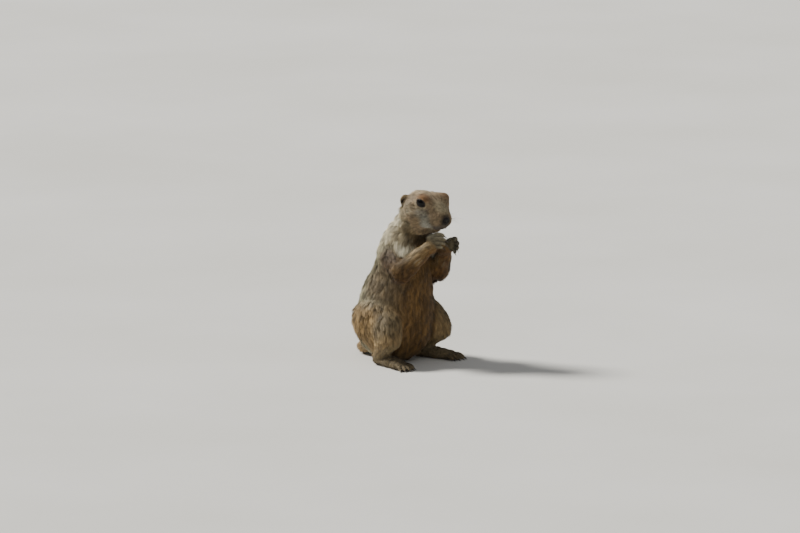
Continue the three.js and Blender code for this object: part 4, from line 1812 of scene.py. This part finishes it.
    def build(self, hide: Hide, finish: FurFinish) -> list[Thing]:
        """Grows the coat.

        Args:
            hide: the skin, already laid out.
            finish: the fur's finish.

        Returns:
            The pieces of the coat.
        """
        rng = np.random.default_rng(self.seed)
        tufts = self.bend(self.roots(hide, rng), rng)
        tints = self.tint(tufts, rng)
        chosen = self.piece_of(tufts)
        material = finish.make()
        made = []
        for index, (name, (slot, kinds)) in enumerate(self.pieces.items()):
            here = np.flatnonzero(chosen == index)
            piece = self.weave(name, {k: v[here] for k, v in tufts.items()}, tints[here])
            made.append(finish_piece(piece, material, nodes_of(*kinds)))
        log.info("coat: %d tufts", len(chosen))
        return made

    def weave(self, name: str, tufts: dict[str, Array], tints: Array) -> Thing:
        """Makes one piece of the coat: each tuft is a thin, bent blade that tapers to a point.

        Args:
            name: the piece's name.
            tufts: the tufts' places.
            tints: their colours.

        Returns:
            The piece.
        """
        count = len(tufts["at"])
        half = (tufts["width"] / 2)[:, None] * tufts["across"]
        start, middle, tip = tufts["start"], tufts["middle"], tufts["tip"]
        waist = self.blade_waist * half
        corners = np.stack([start - half, start + half, middle + waist, middle - waist, tip], 1)
        corners[:, :, 2] = np.maximum(corners[:, :, 2], self.floor_gap)
        data = bpy.data.meshes.new(name)
        data.vertices.add(count * 5)
        data.vertices.foreach_set("co", (corners * MM).astype(np.float32).ravel())
        data.loops.add(count * 7)
        pattern = np.array([0, 1, 2, 3, 3, 2, 4])
        each = np.arange(count)[:, None]
        data.loops.foreach_set("vertex_index", (each * 5 + pattern).astype(np.int32).ravel())
        data.polygons.add(count * 2)
        data.polygons.foreach_set("loop_start", (each * 7 + [0, 4]).astype(np.int32).ravel())
        data.update(calc_edges=True)
        data.validate()
        patch = self.patch * (np.array([[0, 0], [1, 0], [1, 0.6], [0, 0.6], [0.5, 1]])[pattern] - 0.5)
        layer = data.uv_layers.new(name="OFBake")
        layer.data.foreach_set("uv", (tufts["map"][:, None] + patch).astype(np.float32).ravel())
        piece = link(name, data)
        paint(piece, "coat_colour", tints[:, [0, 0, 1, 1, 2]].reshape(-1, 3))
        data.shade_smooth()
        blade = unit(np.cross(tufts["across"], tip - start))
        blade *= np.sign(rows_dot(blade, tufts["normal"]))[:, None]
        facing = unit(0.65 * tufts["normal"] + 0.5 * blade)
        data.normals_split_custom_set_from_vertices(np.repeat(facing, 5, axis=0).tolist())
        return piece


# Eyes, lids, nose, claws and whiskers


@dataclass
class Eyes:
    """Two wet eyes, each with a cornea that stands out, and the dark rim of its lids."""

    rim_radius: float = 0.36
    rim_turns: int = 56
    rim_sides: int = 10
    rim_lift: float = 0.3
    rim_flatness: float = 0.9
    cornea: float = 0.3
    lid_finish: BareFinish = BareFinish("lid_rim", (24, 19, 16), (44, 34, 28), 900, 0.45, bump=0.08)
    eye_finish: EyeFinish = EyeFinish()

    def build(self) -> None:
        """Builds both eyes and both rims."""
        wet, bare = self.eye_finish.make(), self.lid_finish.make()
        for word, side in SIDES.items():
            finish_piece(self.ball(word, side), wet, [f"eye_{word}"])
            finish_piece(self.rim(word, side), bare)

    def ball(self, word: str, side: int) -> Thing:
        """An eyeball whose pole looks out between the lids.

        Args:
            word: left or right.
            side: 1 for the left and -1 for the right.

        Returns:
            The eyeball.
        """
        out = Vector(EYE.axes(side)[2])
        centre = EYE.centre(side)
        sphere = bpy.ops.mesh.primitive_uv_sphere_add
        ball = add(f"eyeball_{word}", sphere, segments=40, ring_count=28, radius=EYE.radius * MM)
        turn = out.to_track_quat("Z", "Y").to_matrix().to_4x4()
        ball.data.transform(Matrix.Translation(Vector(centre * MM)) @ turn)
        points = points_of(ball)
        way = unit(points - centre)
        share = way @ np.array(out)
        points += way * (self.cornea * ease(0.62, 0.98, share))[:, None]
        place_points(ball, points)
        ball.data.shade_smooth()
        layer = ball.data.attributes.new("iris_share", "FLOAT", "POINT")
        layer.data.foreach_set("value", np.arccos(np.clip(share, -1, 1)).astype(np.float32))
        return ball

    def rim(self, word: str, side: int) -> Thing:
        """The bare edge of the lids: a ring drawn out to the leaf of the opening.

        Args:
            word: left or right.
            side: 1 for the left and -1 for the right.

        Returns:
            The rim.
        """
        ring = add(
            f"lid_rim_{word}",
            bpy.ops.mesh.primitive_torus_add,
            major_segments=self.rim_turns,
            minor_segments=self.rim_sides,
            major_radius=EYE.radius * MM,
            minor_radius=self.rim_radius * MM,
        )
        points = points_of(ring)
        turns = np.arctan2(points[:, 1], points[:, 0])
        flat = np.hypot(points[:, 0], points[:, 1])
        outward, above = flat - EYE.radius, points[:, 2]
        on_ball = EYE.rim(side, turns, 0.97)
        lift = unit(on_ball - EYE.centre(side))
        wider = unit(EYE.rim(side, turns, 1.1) - EYE.rim(side, turns, 1.0))
        raised = self.rim_lift + above * self.rim_flatness
        place_points(ring, on_ball + lift * raised[:, None] + wider * outward[:, None])
        close_up(ring)
        return ring


@dataclass
class Nose:
    """The bare nose pad with its two nostrils."""

    at: Point = (0.0, 32.2, -9.2)
    radii: Point = (4.7, 4.4, 4.3)
    nostril: Point = (2.4, 35.4, -9.6)
    nostril_depth: float = 1.9
    nostril_wing: float = 0.35
    narrowing: float = 0.26
    flat_from: float = 3.5
    flatness: float = 0.3
    groove_width: float = 0.5
    groove_depth: float = 0.7
    finish: BareFinish = BareFinish("nose_skin", (11, 9, 8), (28, 22, 20), 2600, 0.55, gloss=0.25, bump=0.14)

    def build(self) -> Thing:
        """Builds the nose pad from a ball: flattened in front, pinched below and holed for the nostrils.

        Returns:
            The piece.
        """
        sphere = bpy.ops.mesh.primitive_uv_sphere_add
        pad = add("nose_pad", sphere, segments=36, ring_count=24, radius=1.0)
        on_whole(pad, bpy.ops.mesh.subdivide, number_cuts=1, smoothness=1.0)
        unit_points = unit(points_of(pad))
        local = unit_points * np.array(self.radii)
        local[:, 0] *= 1 + self.narrowing * unit_points[:, 2]
        flat = self.flat_from + self.flatness * (local[:, 1] - self.flat_from)
        local[:, 1] = np.minimum(local[:, 1], flat)
        groove = np.exp(-((local[:, 0] / self.groove_width) ** 2))
        groove *= ease(0.4, -1.2, local[:, 2]) * (local[:, 1] > 0)
        local[:, 1] -= self.groove_depth * groove
        for side in SIDES.values():
            hole = (np.array(self.nostril) - np.array(self.at)) * [side, 1, 1]
            offset = local - hole
            comma = np.hypot((offset[:, 0] - side * 0.35 * offset[:, 2]) / 0.95, offset[:, 2] / 1.25)
            front = local[:, 1] > 1.0
            local[:, 1] -= self.nostril_depth * ease(1.0, 0.35, comma) * front
            local[:, 1] += self.nostril_wing * np.exp(-(((comma - 1.35) / 0.35) ** 2)) * front
        place_points(pad, np.array(HEAD.at) + (local + np.array(self.at)) @ HEAD.axes)
        close_up(pad)
        return finish_piece(pad, self.finish.make(), ["nose"])


@dataclass
class Claws:
    """Long dark digging claws, modelled once and copied to every finger and toe."""

    sides: int = 10
    steps: int = 7
    curl: float = 0.34
    placed_curl: float = 0.62
    tip_size: float = 0.12
    taper: float = 1.4
    root_depth: float = 1.6
    narrowness: float = 0.82
    along_bone: float = 0.25
    floor_gap: float = 0.25
    finish: BareFinish = BareFinish("claw_horn", (28, 23, 18), (76, 64, 50), 500, 0.4, gloss=0.5, bump=0.05)

    def model(self) -> Thing:
        """A claw of length 1 along +Z that curls down towards -Y, extruded ring by ring from its root.

        Returns:
            The claw.
        """
        circle = bpy.ops.mesh.primitive_circle_add
        claw = add("claw", circle, vertices=self.sides, radius=1.0, fill_type="NGON")
        only(claw)
        bpy.ops.object.mode_set(mode="EDIT")
        bpy.ops.mesh.select_all(action="SELECT")
        height, drop, size = 0.0, 0.0, 1.0
        for i in range(1, self.steps + 1):
            share = i / self.steps
            next_drop = -self.curl * share * share
            next_size = max(1 - share**self.taper, self.tip_size)
            step = (0, next_drop - drop, share - height)
            bpy.ops.mesh.extrude_region_move(TRANSFORM_OT_translate={"value": step})
            grown = next_size / size
            bpy.ops.transform.resize(value=(grown, grown, 1), center_override=(0, next_drop, share))
            height, drop, size = share, next_drop, next_size
        bpy.ops.object.mode_set(mode="OBJECT")
        close_up(claw)
        apply_modifier(claw, "SUBSURF", levels=1, render_levels=1)
        return claw

    def build(self) -> None:
        """Copies the claw to all four paws, one piece a paw."""
        model = self.model()
        shape = points_of(model) * MM
        material = self.finish.make()
        for part, word in PAW_NAMES:
            copies = []
            for digit in PAWS.digits(part, word):
                copy = link("claw", model.data.copy())
                way = digit.way
                if part == "hand":
                    way = unit(way + self.along_bone * unit(digit.tip - digit.knuckle))
                across = unit(np.cross(way, np.array([0.0, 0.0, 1.0])))
                above = np.cross(across, way)
                curl = -self.curl * shape[:, 2] ** 2
                shaped = shape * [digit.radius * self.narrowness, 0, digit.length + self.root_depth]
                shaped[:, 1] = (shape[:, 1] - curl) * digit.radius + curl * digit.length * self.placed_curl
                root = digit.tip - way * self.root_depth
                placed = root + shaped[:, :1] * across + shaped[:, 1:2] * above + shaped[:, 2:] * way
                placed[:, 2] = np.maximum(placed[:, 2], self.floor_gap)
                place_points(copy, placed)
                copies.append(copy)
            finish_piece(join(f"claws_{part}_{word}", copies), material)
        bpy.data.objects.remove(model)


@dataclass
class Whiskers:
    """Fine dark whiskers on the muzzle, with a few over each eye."""

    seed: int = 5
    rows: tuple = ((27.5, -9.0, 4, 15), (26.5, -11.2, 4, 19), (25.0, -13.2, 4, 21), (11, 10.0, 2, 13))
    apart: float = 2.6
    sunk: float = 0.5
    radius: float = 0.075
    steps: int = 9
    finish: BareFinish = BareFinish("whisker", (18, 15, 13), (48, 40, 32), 300, 0.4, bump=0.02)

    def build(self, hide: Hide) -> Thing:
        """Grows the whiskers out of the skin as fine, curved, tapering tubes.

        Args:
            hide: the skin.

        Returns:
            The piece.
        """
        rng = np.random.default_rng(self.seed)
        left, ahead, above = HEAD.axes
        points, faces = [], []
        for side in SIDES.values():
            for forward, up, count, length in self.rows:
                for i in range(count):
                    forward_here = forward - self.apart * i + rng.normal(0, 0.3)
                    outside = HEAD.out(side * 30, forward_here, up + rng.normal(0, 0.4))
                    hit, at, normal, _ = hide.thing.ray_cast(Vector(outside * MM), Vector(-side * left))
                    if not hit:
                        continue
                    normal = np.array(normal)
                    reach = length * (0.75 + 0.12 * i) * rng.uniform(0.85, 1.1)
                    out = normal * 0.9 + ahead * rng.uniform(-0.1, 0.3) + above * rng.uniform(-0.2, 0.2)
                    root = np.array(at) / MM - self.sunk * normal
                    self.hair(root, unit(out), reach, rng, points, faces)
        data = bpy.data.meshes.new("whiskers")
        data.from_pydata([tuple(p * MM) for p in points], [], faces)
        data.shade_smooth()
        return finish_piece(link("whiskers", data), self.finish.make())

    def hair(
        self, at: Array, out: Array, reach: float, rng: np.random.Generator, points: list, faces: list
    ) -> None:
        """Adds one whisker.

        Args:
            at: its root.
            out: the way it starts.
            reach: its length.
            rng: the source of chance.
            points: the mesh's points so far.
            faces: the mesh's faces so far.
        """
        sag = unit(-HEAD.axes[1] * 0.7 - HEAD.axes[2] * 0.5) * rng.uniform(0.15, 0.4)
        across = unit(np.cross(out, sag))
        other = np.cross(out, across)
        start = len(points)
        for i in range(self.steps):
            share = i / (self.steps - 1)
            middle = at + reach * (out * share + sag * share * share)
            size = self.radius * (1 - 0.9 * share)
            for corner in range(4):
                turn = corner * math.pi / 2
                points.append(middle + size * (across * math.cos(turn) + other * math.sin(turn)))
        for i in range(self.steps - 1):
            ring = start + 4 * i
            for corner in range(4):
                following = (corner + 1) % 4
                faces.append((ring + corner, ring + following, ring + 4 + following, ring + 4 + corner))
        faces.append(tuple(start + 3 - i for i in range(4)))
        faces.append(tuple(start + 4 * (self.steps - 1) + i for i in range(4)))


# The studio


@dataclass(frozen=True)
class Lamp:
    """A soft light far away: where it hangs along the picture's right, towards the camera and up."""

    name: str
    right: float
    toward: float
    up: float
    softness: float
    power: float
    colour: Point


@dataclass
class Studio:
    """A plain pale floor, soft light from above and a long lens at the photo's angle."""

    azimuth: float = -50.0
    elevation: float = 10.0
    distance: float = 10.0
    lens: float = 397.0
    sideways: float = 3.6
    above: float = 106.0
    sensor: float = 36.0
    farthest: float = 100.0
    floor_size: float = 60.0
    sky: float = 0.28
    sky_colour: tuple = (0.93, 0.96, 1.0, 1.0)
    lamps: tuple = (
        Lamp("key", -0.8, -0.24, 0.92, 15.0, 6.0, (1.0, 0.985, 0.94)),
        Lamp("fill", 0.5, 1.0, 0.55, 60.0, 0.4, (1.0, 0.99, 0.97)),
    )

    def toward(self) -> Vector:
        """The way from the animal to the camera.

        Returns:
            A direction of length 1.
        """
        azimuth, elevation = math.radians(self.azimuth), math.radians(self.elevation)
        flat = math.cos(elevation)
        return Vector((math.sin(azimuth) * flat, -math.cos(azimuth) * flat, math.sin(elevation)))

    def build(self) -> None:
        """Builds floor, lights and camera."""
        toward = self.toward()
        right = Vector((0, 0, 1)).cross(toward).normalized()
        upright = toward.cross(right)
        self.lay_floor()
        self.light_up(right, toward)
        camera = link("camera", bpy.data.cameras.new("camera"))
        camera.data.lens = self.lens
        camera.data.sensor_width = self.sensor
        camera.data.clip_end = self.farthest
        camera.location = right * self.sideways * MM + upright * self.above * MM + toward * self.distance
        camera.rotation_mode = "QUATERNION"
        camera.rotation_quaternion = (-toward).to_track_quat("-Z", "Y")
        bpy.context.scene.camera = camera

    def lay_floor(self) -> None:
        """Lays the floor."""
        circle = bpy.ops.mesh.primitive_circle_add
        floor = add("floor", circle, vertices=96, radius=self.floor_size, fill_type="NGON")
        floor.data.materials.append(FloorFinish().make())
        floor.select_set(False)

    def light_up(self, right: Vector, toward: Vector) -> None:
        """Hangs the lamps and an even sky.

        Args:
            right: the picture's right.
            toward: the way to the camera.
        """
        world = bpy.data.worlds.new("sky")
        bpy.context.scene.world = world
        world.use_nodes = True
        world.node_tree.nodes["Background"].inputs[0].default_value = self.sky_colour
        world.node_tree.nodes["Background"].inputs[1].default_value = self.sky
        for plan in self.lamps:
            way = right * plan.right + toward * plan.toward + Vector((0, 0, plan.up))
            lamp = link(plan.name, bpy.data.lights.new(plan.name, "SUN"))
            lamp.data.angle = math.radians(plan.softness)
            lamp.data.energy = plan.power
            lamp.data.color = plan.colour
            lamp.location = way
            lamp.rotation_mode = "QUATERNION"
            lamp.rotation_quaternion = (-way).to_track_quat("-Z", "Y")


def main() -> None:
    """Builds the animal and its studio."""
    logging.basicConfig(level=logging.INFO, format="%(relativeCreated)6d %(message)s", stream=sys.stdout)
    hide = Skin().build()
    coat = Coat()
    coat.lay(hide)
    paint(hide.thing, "coat_colour", hide.colours * 0.5)
    bare = FurFinish("skin_under_fur", roughness=0.7, bump=0.25)
    finish_piece(hide.thing, bare.make(), nodes_of(*KINDS))
    coat.build(hide, FurFinish("fur"))
    Eyes().build()
    Nose().build()
    Claws().build()
    Whiskers().build(hide)
    Studio().build()


if __name__ == "__main__":
    main()
    bpy.context.view_layer.update()
